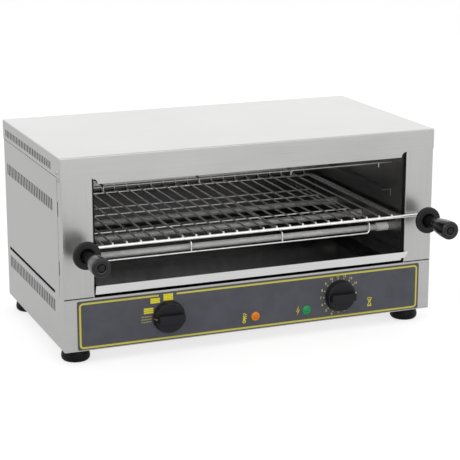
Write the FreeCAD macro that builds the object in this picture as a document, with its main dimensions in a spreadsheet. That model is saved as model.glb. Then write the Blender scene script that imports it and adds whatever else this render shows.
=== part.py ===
import FreeCAD, Part
import math
import os
import Sketcher

# Counter-top toaster grill with an open front, a pull-out wire rack and infrared tubes.
# Frame: X to the right, Y to the back, Z up, millimetres. The origin is on the surface it stands on,
# at the centre of the footprint, the gripped rack and the cable gland included.

SIZES = {
    # case
    "body_width": 640.0,
    "body_depth": 350.0,
    "body_height": 309.0,
    "base_height": 84.5,
    "steel": 1.2,
    "fold_radius": 1.8,
    "sheet_gap": 0.2,
    "post_width": 50.0,
    "post_return": 20.0,
    "post_jamb": 4.0,
    "post_foot_gap": 1.8,
    "post_slot_height": 23.0,
    "post_slot_depth": 3.0,
    "post_slot_low": 36.5,
    "post_slot_high": 130.5,
    "seam": 1.2,
    "weld_line": 34.0,
    "header_height": 44.0,
    "corner_relief": 9.0,
    "cover_side_flange": 32.0,
    "cover_back_flange": 15.0,
    "panel_steel": 1.0,
    "panel_top_gap": 1.8,
    "panel_fold": 10.0,
    "panel_slot_start": 48.0,
    "panel_slot_end": 18.0,
    "panel_slot_height": 5.0,
    # side and back vents
    "vent_start": 50.0,
    "vent_width": 5.0,
    "vent_end": 19.6,
    "vent_count": 28.0,
    "cover_vent_height": 12.0,
    "cover_vent_drop": 26.0,
    "panel_vent_height": 19.0,
    "panel_vent_rise": 132.5,
    "base_vent_height": 20.0,
    "base_vent_rise": 54.0,
    "back_vent_count": 20.0,
    "back_vent_pitch": 16.0,
    "back_vent_height": 30.0,
    "back_vent_rise": 20.0,
    "deck_slot_width": 24.0,
    "deck_slot_start": 240.0,
    "deck_slot_end": 300.0,
    "plate_slot_start": 120.0,
    "plate_slot_end": 230.0,
    "plate_slot_inset": 128.0,
    # cavity
    "liner_steel": 0.8,
    "cavity_side_gap": 3.5,
    "cavity_rear_gap": 5.5,
    "cavity_front": 4.2,
    "wall_flange": 14.0,
    "roof_drop": 19.0,
    "reflector_lip": 18.0,
    "guide_width": 16.0,
    "guide_leg": 12.0,
    "guide_start": 22.0,
    "guide_rear_gap": 12.5,
    "second_level": 38.0,
    "second_start": 46.0,
    # heating tubes
    "tube_radius": 5.25,
    "tube_bore": 4.0,
    "winding_radius": 3.2,
    "tube_cap_radius": 7.0,
    "tube_cap_length": 21.0,
    "tube_tail_radius": 5.5,
    "tube_tail_length": 16.0,
    "tube_pin_radius": 1.5,
    "tube_pin_length": 7.0,
    "tube_first": 56.0,
    "tube_pitch": 100.0,
    "tube_count": 3.0,
    "lower_tube_rise": 50.5,
    "upper_tube_drop": 20.0,
    "tube_fit": 0.2,
    "tube_seat": 4.0,
    # guards over the tubes
    "guard_wire": 1.5,
    "guard_front": 44.0,
    "guard_side_gap": 26.5,
    "guard_bars": 4.0,
    "guard_bend": 5.0,
    "guard_corner": 6.0,
    "guard_overhang": 6.0,
    "guard_wall_gap": 0.3,
    "lower_guard_rise": 44.8,
    "lower_guard_step": 17.2,
    "lower_guard_shift": 13.0,
    "lower_cross_first": 140.0,
    "lower_cross_second": 253.0,
    "lower_cross_third": 300.0,
    "upper_guard_drop": 21.0,
    "upper_hook": 6.0,
    "upper_cross_first": 150.0,
    "upper_cross_second": 270.0,
    "weld_sink": 0.4,
    # wire rack
    "rack_rise": 82.5,
    "rack_bar": 2.75,
    "rack_bar_reach": 7.0,
    "rack_side_gap": 10.5,
    "rack_rear_gap": 5.5,
    "rack_bend": 9.0,
    "rack_clearance": 0.3,
    "rack_wire": 1.5,
    "rack_wire_margin": 14.5,
    "rack_wire_count": 22.0,
    "rack_tip_bend": 3.0,
    "rack_tip_rise": 8.0,
    # handles
    "handle_inset": 27.7,
    "stud_drop": 2.4,
    "stud_fit": 0.1,
    "shield_radius": 22.0,
    "shield_thickness": 8.0,
    "shield_reach": 42.0,
    "shield_recess_radius": 10.8,
    "shield_recess_depth": 4.0,
    "shield_rounding": 2.0,
    "collar_radius": 6.0,
    "collar_length": 5.0,
    "grip_reach": 114.0,
    "grip_neck_radius": 9.5,
    "grip_neck_length": 33.0,
    "grip_shoulder": 3.0,
    "grip_root_radius": 12.0,
    "grip_end_band": 6.0,
    "grip_end_radius": 15.2,
    "grip_recess_radius": 6.4,
    "grip_recess_depth": 5.0,
    "grip_rounding": 2.5,
    "grip_nut_radius": 5.5,
    "grip_nut_height": 4.4,
    "grip_nut_cap": 1.4,
    # crumb tray
    "tray_rise": 4.6,
    "tray_steel": 1.0,
    "tray_height": 14.0,
    "tray_flange_gap": 3.5,
    "tray_pan_inset": 33.0,
    "tray_front": 2.0,
    "tray_rear_gap": 14.5,
    "tray_lip_gap": 1.2,
    "tray_lip_ear": 5.4,
    "tray_lip_slant": 5.0,
    "tray_lip_lean": 5.0,
    "tray_lip_height": 15.5,
    "tray_lip_rounding": 1.6,
    "tray_notch_width": 6.0,
    "tray_notch_height": 4.5,
    "tray_clearance": 0.3,
    "tray_cheek_inset": 4.6,
    "tray_cheek_reach": 12.0,
    "runner_pan_gap": 6.5,
    "runner_steel": 1.0,
    "runner_start": 16.0,
    "runner_rear_gap": 8.5,
    "runner_leg": 9.0,
    # control face
    "overlay_margin": 21.0,
    "overlay_low": 1.5,
    "overlay_top_gap": 3.4,
    "overlay_thickness": 0.6,
    "overlay_corner": 3.0,
    "selector_inset": 171.4,
    "selector_rise": 40.2,
    "timer_inset": 168.2,
    "timer_rise": 40.8,
    "knob_radius": 26.5,
    "knob_skirt": 3.0,
    "knob_top_radius": 24.4,
    "knob_body": 10.5,
    "knob_reach": 20.0,
    "knob_grip_length": 43.5,
    "knob_grip_width": 13.0,
    "knob_grip_corner": 2.4,
    "knob_face_gap": 0.5,
    "knob_bore_depth": 14.0,
    "shaft_radius": 3.0,
    "run_fit": 0.05,
    "shaft_hole_radius": 5.5,
    "bush_radius": 5.3,
    "shaft_depth": 20.0,
    "switch_width": 44.0,
    "switch_height": 40.0,
    "switch_depth": 38.0,
    "timer_width": 52.0,
    "timer_height": 46.0,
    "timer_depth": 44.0,
    "orange_lamp_to_timer": 151.3,
    "green_lamp_to_timer": 60.3,
    "lamp_rise": 22.6,
    "lamp_radius": 7.6,
    "lamp_reach": 3.0,
    "lamp_rim": 1.2,
    "lamp_body_radius": 5.5,
    "lamp_body_depth": 26.0,
    "lamp_fit": 0.1,
    "lamp_seat": 2.0,
    "lamp_plug": 1.5,
    "lamp_dome": 0.9,
    # feet
    "foot_height": 24.0,
    "foot_radius": 23.0,
    "foot_base_radius": 20.0,
    "foot_swell": 3.5,
    "foot_tread": 10.0,
    "foot_neck_radius": 18.8,
    "foot_inset": 27.6,
    "foot_front": 37.3,
    "foot_rear": 30.0,
    "foot_recess_radius": 9.0,
    "foot_recess_depth": 8.0,
    "foot_screw_radius": 3.0,
    "foot_screw_head_radius": 6.5,
    "foot_screw_head": 4.0,
    "foot_nut_radius": 5.8,
    "foot_nut_height": 5.0,
    "foot_screw_end": 2.0,
    "screw_fit": 0.1,
    # mains inlet and terminals
    "gland_inset": 90.0,
    "gland_rise": 26.0,
    "gland_radius": 11.0,
    "gland_thread_radius": 9.8,
    "gland_bore": 5.0,
    "gland_reach": 9.0,
    "gland_depth": 14.0,
    "gland_nut_radius": 13.0,
    "gland_nut_height": 5.0,
    "terminal_inset": 130.0,
    "terminal_width": 60.0,
    "terminal_depth": 24.0,
    "terminal_height": 22.0,
    "terminal_setback": 60.0,
    # case screws
    "screw_radius": 2.0,
    "screw_head_radius": 3.8,
    "screw_head": 1.8,
    "screw_length": 8.0,
    "case_screw_front": 12.0,
    "case_screw_drop": 24.0,
    "post_screw_drop": 36.5,
    "post_tab_height": 18.0,
    "back_screw_spacing": 280.0,
    "back_screw_drop": 8.0,
}

doc = FreeCAD.newDocument("toaster_grill")
sheet = doc.addObject("Spreadsheet::Sheet", "Sizes")
for row, (alias, number) in enumerate(SIZES.items(), start=1):
    sheet.set(f"A{row}", alias)
    sheet.set(f"B{row}", str(number))
    sheet.setAlias(f"B{row}", alias)
doc.recompute()


class Size:
    """A length: its number in millimetres and the formula over the sheet that gives it."""

    def __init__(self, formula, number):
        self.formula = formula
        self.number = number

    def joined(self, sign, other, number, swap=False):
        other = as_size(other)
        left, right = (other, self) if swap else (self, other)
        return Size(f"({left.formula} {sign} {right.formula})", number(left.number, right.number))

    def __add__(self, other):
        return self.joined("+", other, lambda a, b: a + b)

    def __radd__(self, other):
        return self.joined("+", other, lambda a, b: a + b, swap=True)

    def __sub__(self, other):
        return self.joined("-", other, lambda a, b: a - b)

    def __rsub__(self, other):
        return self.joined("-", other, lambda a, b: a - b, swap=True)

    def __mul__(self, other):
        return self.joined("*", other, lambda a, b: a * b)

    def __rmul__(self, other):
        return self.joined("*", other, lambda a, b: a * b, swap=True)

    def __truediv__(self, other):
        return self.joined("/", other, lambda a, b: a / b)

    def __neg__(self):
        return Size(f"(-1 * {self.formula})", -self.number)


def as_size(value):
    return value if isinstance(value, Size) else Size(repr(float(value)), float(value))


class Sheet:
    """Gives each driving dimension by its name."""

    def __getattr__(self, alias):
        return Size(f"Sizes.{alias}", SIZES[alias])


size = Sheet()
zero = as_size(0.0)
past = as_size(1.0)  # how far a cutting tool, or a root inside a neighbour, runs past the surface
nodes = []

# Levels and planes that the pieces share
half = size.body_width / 2
front = (size.grip_reach - size.body_depth - size.gland_reach) / 2
back = front + size.body_depth
floor_plate = size.foot_height
deck = floor_plate + size.base_height
top = floor_plate + size.body_height
post_top = top - size.weld_line
post_inner = half - size.post_width
wall = post_inner - size.cavity_side_gap
cavity_front = front + size.cavity_front
cavity_back = back - size.cavity_rear_gap
roof = top - size.roof_drop
rack_level = deck + size.rack_rise
rack_underside = rack_level - size.rack_bar
handle_x = half - size.handle_inset
face = front - size.overlay_thickness
vent_pitch = (size.body_depth - size.vent_start - size.vent_end - size.vent_width) / (size.vent_count - 1)
tray_flange = wall - size.tray_flange_gap
tray_pan = tray_flange - size.tray_pan_inset
selector_x = size.selector_inset - half
timer_x = half - size.timer_inset
orange_lamp_x = timer_x - size.orange_lamp_to_timer
green_lamp_x = timer_x - size.green_lamp_to_timer
gland_x = half - size.gland_inset
terminal_x = half - size.terminal_inset
grip_recess_floor = front - size.grip_reach + size.grip_recess_depth
grip_nut_face = grip_recess_floor - size.grip_nut_height
handle_level = rack_level - size.stud_drop


def keep(item, label):
    """Name a finished piece: its label is the name of its file."""
    item.Label = label
    nodes.append(item)
    return item


def bind(item, **values):
    for prop, value in values.items():
        item.setExpression(prop.replace("__", "."), as_size(value).formula)


def place(item, x=zero, y=zero, z=zero):
    bind(item, Placement__Base__x=x, Placement__Base__y=y, Placement__Base__z=z)
    return item


class Piece:
    """A body built from sketches; each feature runs between two levels along a plane's normal."""

    normals = {"XY": ("XY_Plane", 1), "XZ": ("XZ_Plane", -1), "YZ": ("YZ_Plane", 1)}

    def __init__(self, label):
        self.body = keep(doc.addObject("PartDesign::Body", label), label)

    def origin(self, role):
        return next(item for item in self.body.Origin.OriginFeatures if item.Role == role)

    def sketch(self, plane, level, outlines):
        role, sign = self.normals[plane]
        drawing = self.body.newObject("Sketcher::SketchObject", "Sketch")
        drawing.AttachmentSupport = (self.origin(role), [""])
        drawing.MapMode = "FlatFace"
        bind(drawing, AttachmentOffset__Base__z=sign * as_size(level))
        for outline in outlines:
            if len(outline) == 3 and not isinstance(outline[0], tuple):
                self.draw_circle(drawing, *outline)
            else:
                self.draw_polygon(drawing, outline)
        return drawing

    def draw_polygon(self, drawing, corners):
        corners = [(as_size(u), as_size(v)) for u, v in corners]
        first = drawing.GeometryCount
        points = [FreeCAD.Vector(u.number, v.number, 0) for u, v in corners]
        count = len(points)
        for k in range(count):
            drawing.addGeometry(Part.LineSegment(points[k], points[(k + 1) % count]), False)
        for k in range(count):
            following = first + (k + 1) % count
            drawing.addConstraint(Sketcher.Constraint("Coincident", first + k, 2, following, 1))
        for k, (u, v) in enumerate(corners):
            self.locate(drawing, first + k, 1, u, v)

    def draw_circle(self, drawing, u, v, radius):
        u, v, radius = as_size(u), as_size(v), as_size(radius)
        circle = Part.Circle(FreeCAD.Vector(u.number, v.number, 0), FreeCAD.Vector(0, 0, 1), radius.number)
        index = drawing.addGeometry(circle, False)
        self.locate(drawing, index, 3, u, v)
        bound = drawing.addConstraint(Sketcher.Constraint("Radius", index, radius.number))
        drawing.renameConstraint(bound, f"radius{index}")
        drawing.setExpression(f"Constraints.radius{index}", radius.formula)

    def locate(self, drawing, index, point, u, v):
        for kind, letter, value in (("DistanceX", "u", u), ("DistanceY", "v", v)):
            rule = Sketcher.Constraint(kind, -1, 1, index, point, value.number)
            bound = drawing.addConstraint(rule)
            drawing.renameConstraint(bound, f"{letter}{index}")
            drawing.setExpression(f"Constraints.{letter}{index}", value.formula)

    def feature(self, kind, plane, low, high, outlines, reverse):
        drawing = self.sketch(plane, low, outlines)
        made = self.body.newObject(f"PartDesign::{kind}", kind)
        made.Profile = drawing
        made.Reversed = reverse
        bind(made, Length=as_size(high) - as_size(low))
        made.Refine = True
        self.body.Tip = made
        return made

    def add(self, plane, low, high, *outlines):
        """Material between two levels."""
        return self.feature("Pad", plane, low, high, outlines, plane == "XZ")

    def cut(self, plane, low, high, *outlines):
        """A pocket between two levels."""
        return self.feature("Pocket", plane, low, high, outlines, plane != "XZ")

    def turn(self, outline, axis="Z"):
        """A profile of radius and height turned round an axis."""
        plane = {"Z": "XZ", "Y": "XY"}[axis]
        drawing = self.sketch(plane, zero, [outline])
        made = self.body.newObject("PartDesign::Revolution", "Revolution")
        made.Profile = drawing
        made.ReferenceAxis = (self.origin(f"{axis}_Axis"), [""])
        made.Angle = 360
        self.body.Tip = made
        return made

    def row(self, made, axis, pitch, count):
        """Repeat a feature along an axis."""
        line = self.body.newObject("PartDesign::LinearPattern", "Row")
        line.Originals = [made]
        line.Direction = (self.origin(f"{axis}_Axis"), [""])
        bind(line, Length=pitch * (count - 1), Occurrences=count)
        self.body.Tip = line
        return line

    def round_off(self, radius, *tests):
        """Fillet the edges that pass any of the tests."""
        doc.recompute()
        base = self.body.Tip
        edges = base.Shape.Edges
        names = [f"Edge{k}" for k, edge in enumerate(edges, start=1) if any(t(edge) for t in tests)]
        if not names:
            raise RuntimeError(f"{self.body.Label}: no edge to round")
        made = self.body.newObject("PartDesign::Fillet", "Fillet")
        made.Base = (base, names)
        bind(made, Radius=radius)
        self.body.Tip = made
        return made


def along(**limits):
    """A test for edges that lie wholly at the named coordinates."""
    def test(edge):
        bound = edge.BoundBox
        for axis, value in limits.items():
            low, high = getattr(bound, f"{axis.upper()}Min"), getattr(bound, f"{axis.upper()}Max")
            if abs(low - value.number) > 0.02 or abs(high - value.number) > 0.02:
                return False
        return True
    return test


def ring_at(axis, level, radius):
    """A test for a full circle of one radius at one level along an axis."""
    def test(edge):
        bound = edge.BoundBox
        low, high = getattr(bound, f"{axis}Min"), getattr(bound, f"{axis}Max")
        reach = max(bound.XLength, bound.ZLength if axis == "Y" else bound.YLength) / 2
        at_level = abs(low - level.number) < 0.02 and abs(high - level.number) < 0.02
        return at_level and abs(reach - radius.number) < 0.05
    return test


def in_order(first, second):
    """Two levels, the lower one first."""
    return (first, second) if first.number < second.number else (second, first)


def rectangle(u_low, u_high, v_low, v_high):
    return [(u_low, v_low), (u_high, v_low), (u_high, v_high), (u_low, v_high)]


AXIS_TURN = {
    "X": FreeCAD.Rotation(FreeCAD.Vector(0, 1, 0), 90),
    "Y": FreeCAD.Rotation(FreeCAD.Vector(1, 0, 0), -90),
    "Z": FreeCAD.Rotation(),
}


def rod(name, axis, start, length, radius):
    """A round bar from a start point along an axis."""
    bar = doc.addObject("Part::Cylinder", name)
    bar.Placement.Rotation = AXIS_TURN[axis]
    bind(bar, Radius=radius, Height=length)
    return place(bar, *start)


def block(name, x, y, z):
    """A box between two planes on each axis."""
    brick = doc.addObject("Part::Box", name)
    bind(brick, Length=x[1] - x[0], Width=y[1] - y[0], Height=z[1] - z[0])
    return place(brick, x[0], y[0], z[0])


def elbow(name, centre, first, second, bend, radius):
    """A quarter bend of a round bar about a centre, from one direction to the other."""
    first, second = FreeCAD.Vector(*first), FreeCAD.Vector(*second)
    ring = doc.addObject("Part::Torus", name)
    ring.Placement.Rotation = FreeCAD.Rotation(first, second, first.cross(second), "XYZ")
    ring.Angle3 = 90
    bind(ring, Radius1=bend, Radius2=radius)
    return place(ring, *centre)


def prism(name, start, radius, height, axis="Z"):
    """A hexagon bar, its radius to the corners."""
    nut = doc.addObject("Part::Prism", name)
    nut.Polygon = 6
    nut.Placement.Rotation = AXIS_TURN[axis]
    bind(nut, Circumradius=radius, Height=height)
    return place(nut, *start)


def fuse(name, shapes):
    joined = doc.addObject("Part::MultiFuse", name)
    joined.Shapes = shapes
    joined.Refine = False
    return joined


def cut(name, base, tool):
    result = doc.addObject("Part::Cut", name)
    result.Base = base
    result.Tool = tool
    return result


def group(label, items):
    """Several like solids that share one node."""
    compound = doc.addObject("Part::Compound", label)
    compound.Links = items
    return keep(compound, label)


def vent_slots(piece, plane, low, high, along_axis, start, rise, height, count, pitch):
    """A row of upright slots through a sheet."""
    slot = rectangle(start, start + size.vent_width, rise, rise + height)
    cut_slot = piece.cut(plane, low, high, slot)
    piece.row(cut_slot, along_axis, pitch, count)


SIDES = (("left", -1), ("right", 1))


# Case: base

def base_shell():
    """Folded base: front, sides, back and deck in one sheet, open below."""
    shell = Piece("base_shell")
    inner = half - size.steel
    deck_under = deck - size.steel
    shell.add("XY", floor_plate, deck, rectangle(-half, half, front, back))
    shell.round_off(size.fold_radius, along(x=-half, y=front), along(x=half, y=front),
                    along(x=-half, y=back), along(x=half, y=back))
    shell.cut("XY", floor_plate, deck_under,
              rectangle(-inner, inner, front + size.steel, back - size.steel))
    holes = [(selector_x, floor_plate + size.selector_rise, size.shaft_hole_radius),
             (timer_x, floor_plate + size.timer_rise, size.shaft_hole_radius)]
    lamp_hole = size.lamp_body_radius + size.lamp_fit
    for lamp_x in (orange_lamp_x, green_lamp_x):
        holes.append((lamp_x, floor_plate + size.lamp_rise, lamp_hole))
    shell.cut("XZ", front - past, front + 2 * size.steel, *holes)
    shell.cut("XZ", back - 2 * size.steel, back + past,
              (gland_x, floor_plate + size.gland_rise, size.gland_thread_radius + size.screw_fit))
    vent_slots(shell, "YZ", -half - past, half + past, "Y", front + size.vent_start,
               floor_plate + size.base_vent_rise, size.base_vent_height, size.vent_count, vent_pitch)
    side_middle = (half + wall) / 2
    for sign in (-1, 1):
        middle = sign * side_middle
        shell.cut("XY", deck_under - past, deck + past,
                  rectangle(middle - size.deck_slot_width / 2, middle + size.deck_slot_width / 2,
                            front + size.deck_slot_start, front + size.deck_slot_end))
    return shell


def base_plate():
    """Floor of the base between its walls, with the feet's holes and cooling slots."""
    plate = Piece("base_plate")
    inner = half - size.steel - size.sheet_gap
    plate.add("XY", floor_plate, floor_plate + size.steel,
              rectangle(-inner, inner, front + size.steel + size.sheet_gap,
                        back - size.steel - size.sheet_gap))
    plate.cut("XY", floor_plate - past, floor_plate + 2 * size.steel,
              *[(x, y, size.foot_screw_radius + size.screw_fit) for x, y in foot_places()])
    first = size.plate_slot_inset - half
    slot = plate.cut("XY", floor_plate - past, floor_plate + 2 * size.steel,
                     rectangle(first, first + size.vent_width, front + size.plate_slot_start,
                               front + size.plate_slot_end))
    plate.row(slot, "X", size.back_vent_pitch, size.back_vent_count)


def foot_places():
    x = half - size.foot_inset
    return [(sign * x, y) for y in (front + size.foot_front, back - size.foot_rear) for sign in (-1, 1)]


def feet():
    """Four rubber feet, widest in their lower half, with the screw's recess below."""
    hole = size.foot_screw_radius + size.screw_fit
    profile = [(size.foot_recess_radius, zero), (size.foot_base_radius, zero),
               (size.foot_radius, size.foot_swell), (size.foot_radius, size.foot_tread),
               (size.foot_neck_radius, size.foot_height), (hole, size.foot_height),
               (hole, size.foot_recess_depth), (size.foot_recess_radius, size.foot_recess_depth)]
    names = ("left_front_foot", "right_front_foot", "left_rear_foot", "right_rear_foot")
    for name, (x, y) in zip(names, foot_places()):
        foot = Piece(name)
        foot.turn(profile)
        place(foot.body, x, y)


def foot_fasteners():
    """A pan-head screw up through each foot and the base plate, held by a nut."""
    screws, nuts = [], []
    head_low = size.foot_recess_depth - size.foot_screw_head
    plate_top = floor_plate + size.steel
    shank_top = plate_top + size.foot_nut_height + size.foot_screw_end
    for k, (x, y) in enumerate(foot_places()):
        head = rod(f"foot_screw_head_{k}", "Z", (x, y, head_low), size.foot_screw_head,
                   size.foot_screw_head_radius)
        shank = rod(f"foot_screw_shank_{k}", "Z", (x, y, head_low), shank_top - head_low,
                    size.foot_screw_radius)
        screws.append(fuse(f"foot_screw_{k}", [head, shank]))
        hexagon = prism(f"foot_nut_body_{k}", (x, y, plate_top), size.foot_nut_radius, size.foot_nut_height)
        bore = rod(f"foot_nut_bore_{k}", "Z", (x, y, plate_top - past), size.foot_nut_height + 2 * past,
                   size.foot_screw_radius + size.screw_fit)
        nuts.append(cut(f"foot_nut_{k}", hexagon, bore))
    group("foot_screws", screws)
    group("foot_nuts", nuts)


# Case: upper part

def top_cover():
    """Lid folded down on all sides; its front flange is the header over the window."""
    cover = Piece("top_cover")
    outer = half + size.steel
    header_low = top - size.header_height
    cover.add("XY", header_low, top, rectangle(-outer, outer, front, back))
    cover.round_off(size.fold_radius, along(x=-outer, z=top), along(x=outer, z=top),
                    along(y=front, z=top), along(y=back, z=top),
                    along(x=-outer, y=front), along(x=outer, y=front),
                    along(x=-outer, y=back), along(x=outer, y=back))
    cover.cut("XY", header_low - past, top - size.steel,
              rectangle(-half, half, front + size.steel, back - size.steel))
    side_low = top - size.cover_side_flange
    for sign in (-1, 1):
        low, high = (-outer - past, -half) if sign < 0 else (half, outer + past)
        cover.cut("YZ", low, high, rectangle(front - past, back + past, header_low - past, side_low))
        inner, edge = sign * post_inner, sign * (outer + past)
        u_low, u_high = (edge, inner) if sign < 0 else (inner, edge)
        cover.cut("XZ", front - past, front + 2 * size.steel,
                  rectangle(u_low, u_high, header_low - past, post_top))
    cover.cut("XZ", back - 2 * size.steel, back + past,
              rectangle(-outer - past, outer + past, header_low - past, top - size.cover_back_flange))
    for sign in (-1, 1):
        cover.cut("XZ", front - past, front + 2 * size.steel,
                  (sign * post_inner, header_low, size.corner_relief))
    vent_slots(cover, "YZ", -outer - past, outer + past, "Y", front + size.vent_start,
               top - size.cover_vent_drop, size.cover_vent_height, size.vent_count, vent_pitch)


def front_posts():
    """A folded channel each side of the window: face, return on the side and jamb."""
    for side, sign in SIDES:
        post = Piece(f"{side}_post")
        thick = size.steel
        outline = [(half, front), (half, front + size.post_return),
                   (half - thick, front + size.post_return), (half - thick, front + thick),
                   (post_inner + thick, front + thick), (post_inner + thick, front + size.post_jamb),
                   (post_inner, front + size.post_jamb), (post_inner, front)]
        post.add("XY", deck, post_top, [(sign * x, y) for x, y in outline])
        post.round_off(size.fold_radius, along(x=sign * half, y=front))
        post.round_off(size.fold_radius / 2, along(x=sign * post_inner, y=front))
        edge = front + size.post_return
        tab = rectangle(front + 2 * thick, edge, post_top - past, post_top + size.post_tab_height)
        post.add("YZ", *in_order(sign * (half - thick), sign * half), tab)
        post.cut("XZ", front - past, front + thick,
                 rectangle(*in_order(sign * (post_inner - past), sign * (half + past)), deck - past,
                           deck + size.post_foot_gap))
        low, high = in_order(sign * (half - 2 * thick), sign * (half + past))
        for rise in (size.post_slot_low, size.post_slot_high):
            post.cut("YZ", low, high, rectangle(edge - size.post_slot_depth, edge + past,
                                                deck + rise, deck + rise + size.post_slot_height))


def side_panels():
    """Outer side sheets with their folded ends, the vents and the long slot at the foot."""
    start = front + size.post_return + size.seam
    end = back - 2 * size.steel
    upper = top - size.cover_side_flange - size.panel_top_gap
    inner = half - size.panel_steel
    fold = half - size.panel_fold
    for side, sign in SIDES:
        panel = Piece(f"{side}_side_panel")
        outline = [(half, start), (half, end), (fold, end), (fold, end - size.panel_steel),
                   (inner, end - size.panel_steel), (inner, start + size.panel_steel),
                   (fold, start + size.panel_steel), (fold, start)]
        panel.add("XY", deck, upper, [(sign * x, y) for x, y in outline])
        low, high = in_order(sign * (inner - past), sign * (half + past))
        panel.cut("YZ", low, high, rectangle(front + size.panel_slot_start, back - size.panel_slot_end,
                                             deck - past, deck + size.panel_slot_height))
        vent_slots(panel, "YZ", low, high, "Y", front + size.vent_start, deck + size.panel_vent_rise,
                   size.panel_vent_height, size.vent_count, vent_pitch)


def back_panel():
    """Rear sheet behind the cavity with two rows of cooling slots."""
    panel = Piece("back_panel")
    low, high = back - 2 * size.steel, back - size.steel
    panel.add("XZ", low, high, rectangle(-half, half, deck, top - size.steel))
    span = size.back_vent_pitch * (size.back_vent_count - 1) + size.vent_width
    for rise in (deck + size.back_vent_rise,
                 top - size.cover_back_flange - size.back_vent_rise - size.back_vent_height):
        vent_slots(panel, "XZ", low - past, high + past, "X", -span / 2, rise, size.back_vent_height,
                   size.back_vent_count, size.back_vent_pitch)


# Cavity

def tube_places():
    """Depth of each heating tube."""
    return [front + size.tube_first + k * size.tube_pitch for k in range(int(SIZES["tube_count"]))]


def tube_levels():
    return (("lower", deck + size.lower_tube_rise), ("upper", roof - size.upper_tube_drop))


def cavity_walls():
    """Side liners with a flange behind each post and round holes for the tube caps."""
    thick = size.liner_steel
    hole = size.tube_tail_radius + size.tube_fit
    for side, sign in SIDES:
        liner = Piece(f"{side}_cavity_wall")
        outline = [(wall, cavity_front), (post_inner + size.wall_flange, cavity_front),
                   (post_inner + size.wall_flange, cavity_front + thick),
                   (wall + thick, cavity_front + thick), (wall + thick, cavity_back), (wall, cavity_back)]
        liner.add("XY", deck, roof, [(sign * x, y) for x, y in outline])
        low, high = in_order(sign * (wall - past), sign * (wall + 2 * past))
        liner.cut("YZ", low, high, *[(y, z, hole) for _, z in tube_levels() for y in tube_places()])


def cavity_back_sheet():
    sheet_back = Piece("cavity_back")
    edge = wall + size.liner_steel
    sheet_back.add("XZ", cavity_back, cavity_back + size.liner_steel,
                   rectangle(-edge, edge, deck, roof + size.liner_steel))


def upper_reflector():
    """Polished roof of the cavity with a turned-down front lip."""
    edge = wall + size.liner_steel
    reflector = Piece("upper_reflector")
    thick = size.liner_steel
    outline = [(cavity_front, roof), (cavity_front, roof + thick), (cavity_back, roof + thick),
               (cavity_back, roof)]
    reflector.add("YZ", -edge, edge, outline)
    lip = rectangle(cavity_front - thick, cavity_front, roof - size.reflector_lip, roof + thick)
    reflector.add("YZ", -edge, edge, lip)


def rack_guides():
    """Two levels of angle each side; the rack's side rods run on the lower level."""
    levels = (("lower", rack_underside - size.rack_clearance, size.guide_start),
              ("upper", rack_underside - size.rack_clearance + size.second_level, size.second_start))
    for level, surface, start in levels:
        for side, sign in SIDES:
            guide = Piece(f"{side}_{level}_guide")
            inner = wall - size.guide_width
            thick = size.liner_steel
            outline = [(wall, surface), (inner, surface), (inner, surface - thick),
                       (wall - thick, surface - thick), (wall - thick, surface - size.guide_leg),
                       (wall, surface - size.guide_leg)]
            guide.add("XZ", front + start, cavity_back - size.guide_rear_gap,
                      [(sign * x, z) for x, z in outline])


def tray_runners():
    """An angle each side under the tray's flanges."""
    surface = tray_flange_under() - size.tray_clearance
    thick = size.runner_steel
    inner = tray_pan + size.runner_pan_gap
    for side, sign in SIDES:
        runner = Piece(f"{side}_tray_runner")
        outline = [(wall, surface), (inner, surface), (inner, surface - thick),
                   (wall - thick, surface - thick), (wall - thick, surface - size.runner_leg),
                   (wall, surface - size.runner_leg)]
        runner.add("XZ", front + size.runner_start, cavity_back - size.runner_rear_gap,
                   [(sign * x, z) for x, z in outline])


# Heating tubes: quartz sleeve, wound heater inside and a ceramic cap through each liner

def heating_tubes():
    caps = []
    sleeve_half = wall - size.tube_cap_length + size.tube_seat
    for level, z in tube_levels():
        sleeves, windings = [], []
        for k, y in enumerate(tube_places()):
            name = f"{level}_tube_{k}"
            outside = rod(f"{name}_outside", "X", (-sleeve_half, y, z), 2 * sleeve_half, size.tube_radius)
            inside = rod(f"{name}_inside", "X", (-sleeve_half - past, y, z),
                         2 * (sleeve_half + past), size.tube_bore)
            sleeves.append(cut(name, outside, inside))
            windings.append(rod(f"{level}_winding_{k}", "X", (-sleeve_half, y, z),
                                2 * sleeve_half, size.winding_radius))
            for side, sign in SIDES:
                caps.append(tube_cap(f"{name}_{side}", sign, y, z, sleeve_half))
        group(f"{level}_quartz_tubes", sleeves)
        group(f"{level}_windings", windings)
    group("tube_caps", caps)


def tube_cap(name, sign, y, z, sleeve_half):
    """Ceramic cap: a cup over the sleeve's end, a tail through the liner and the contact pin."""
    inner_end = wall - size.tube_cap_length
    inner_face = wall - size.sheet_gap

    def bar(part, low, high, radius):
        start = low if sign > 0 else -high
        return rod(f"{name}_{part}", "X", (start, y, z), high - low, radius)

    tail_end = wall + size.tube_tail_length
    solid = fuse(f"{name}_solid", [bar("cup", inner_end, inner_face, size.tube_cap_radius),
                                   bar("tail", inner_end, tail_end, size.tube_tail_radius),
                                   bar("pin", inner_end, tail_end + size.tube_pin_length,
                                       size.tube_pin_radius)])
    socket = bar("socket", inner_end - past, sleeve_half + size.screw_fit, size.tube_radius + size.tube_fit)
    return cut(f"{name}_cap", solid, socket)


# Guards: welded wires between the tubes and the food

def guard_bar_places(shift):
    reach = wall - size.guard_side_gap
    pitch = 2 * reach / (size.guard_bars - 1)
    return [k * pitch - reach - shift for k in range(int(SIZES["guard_bars"]))]


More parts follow.
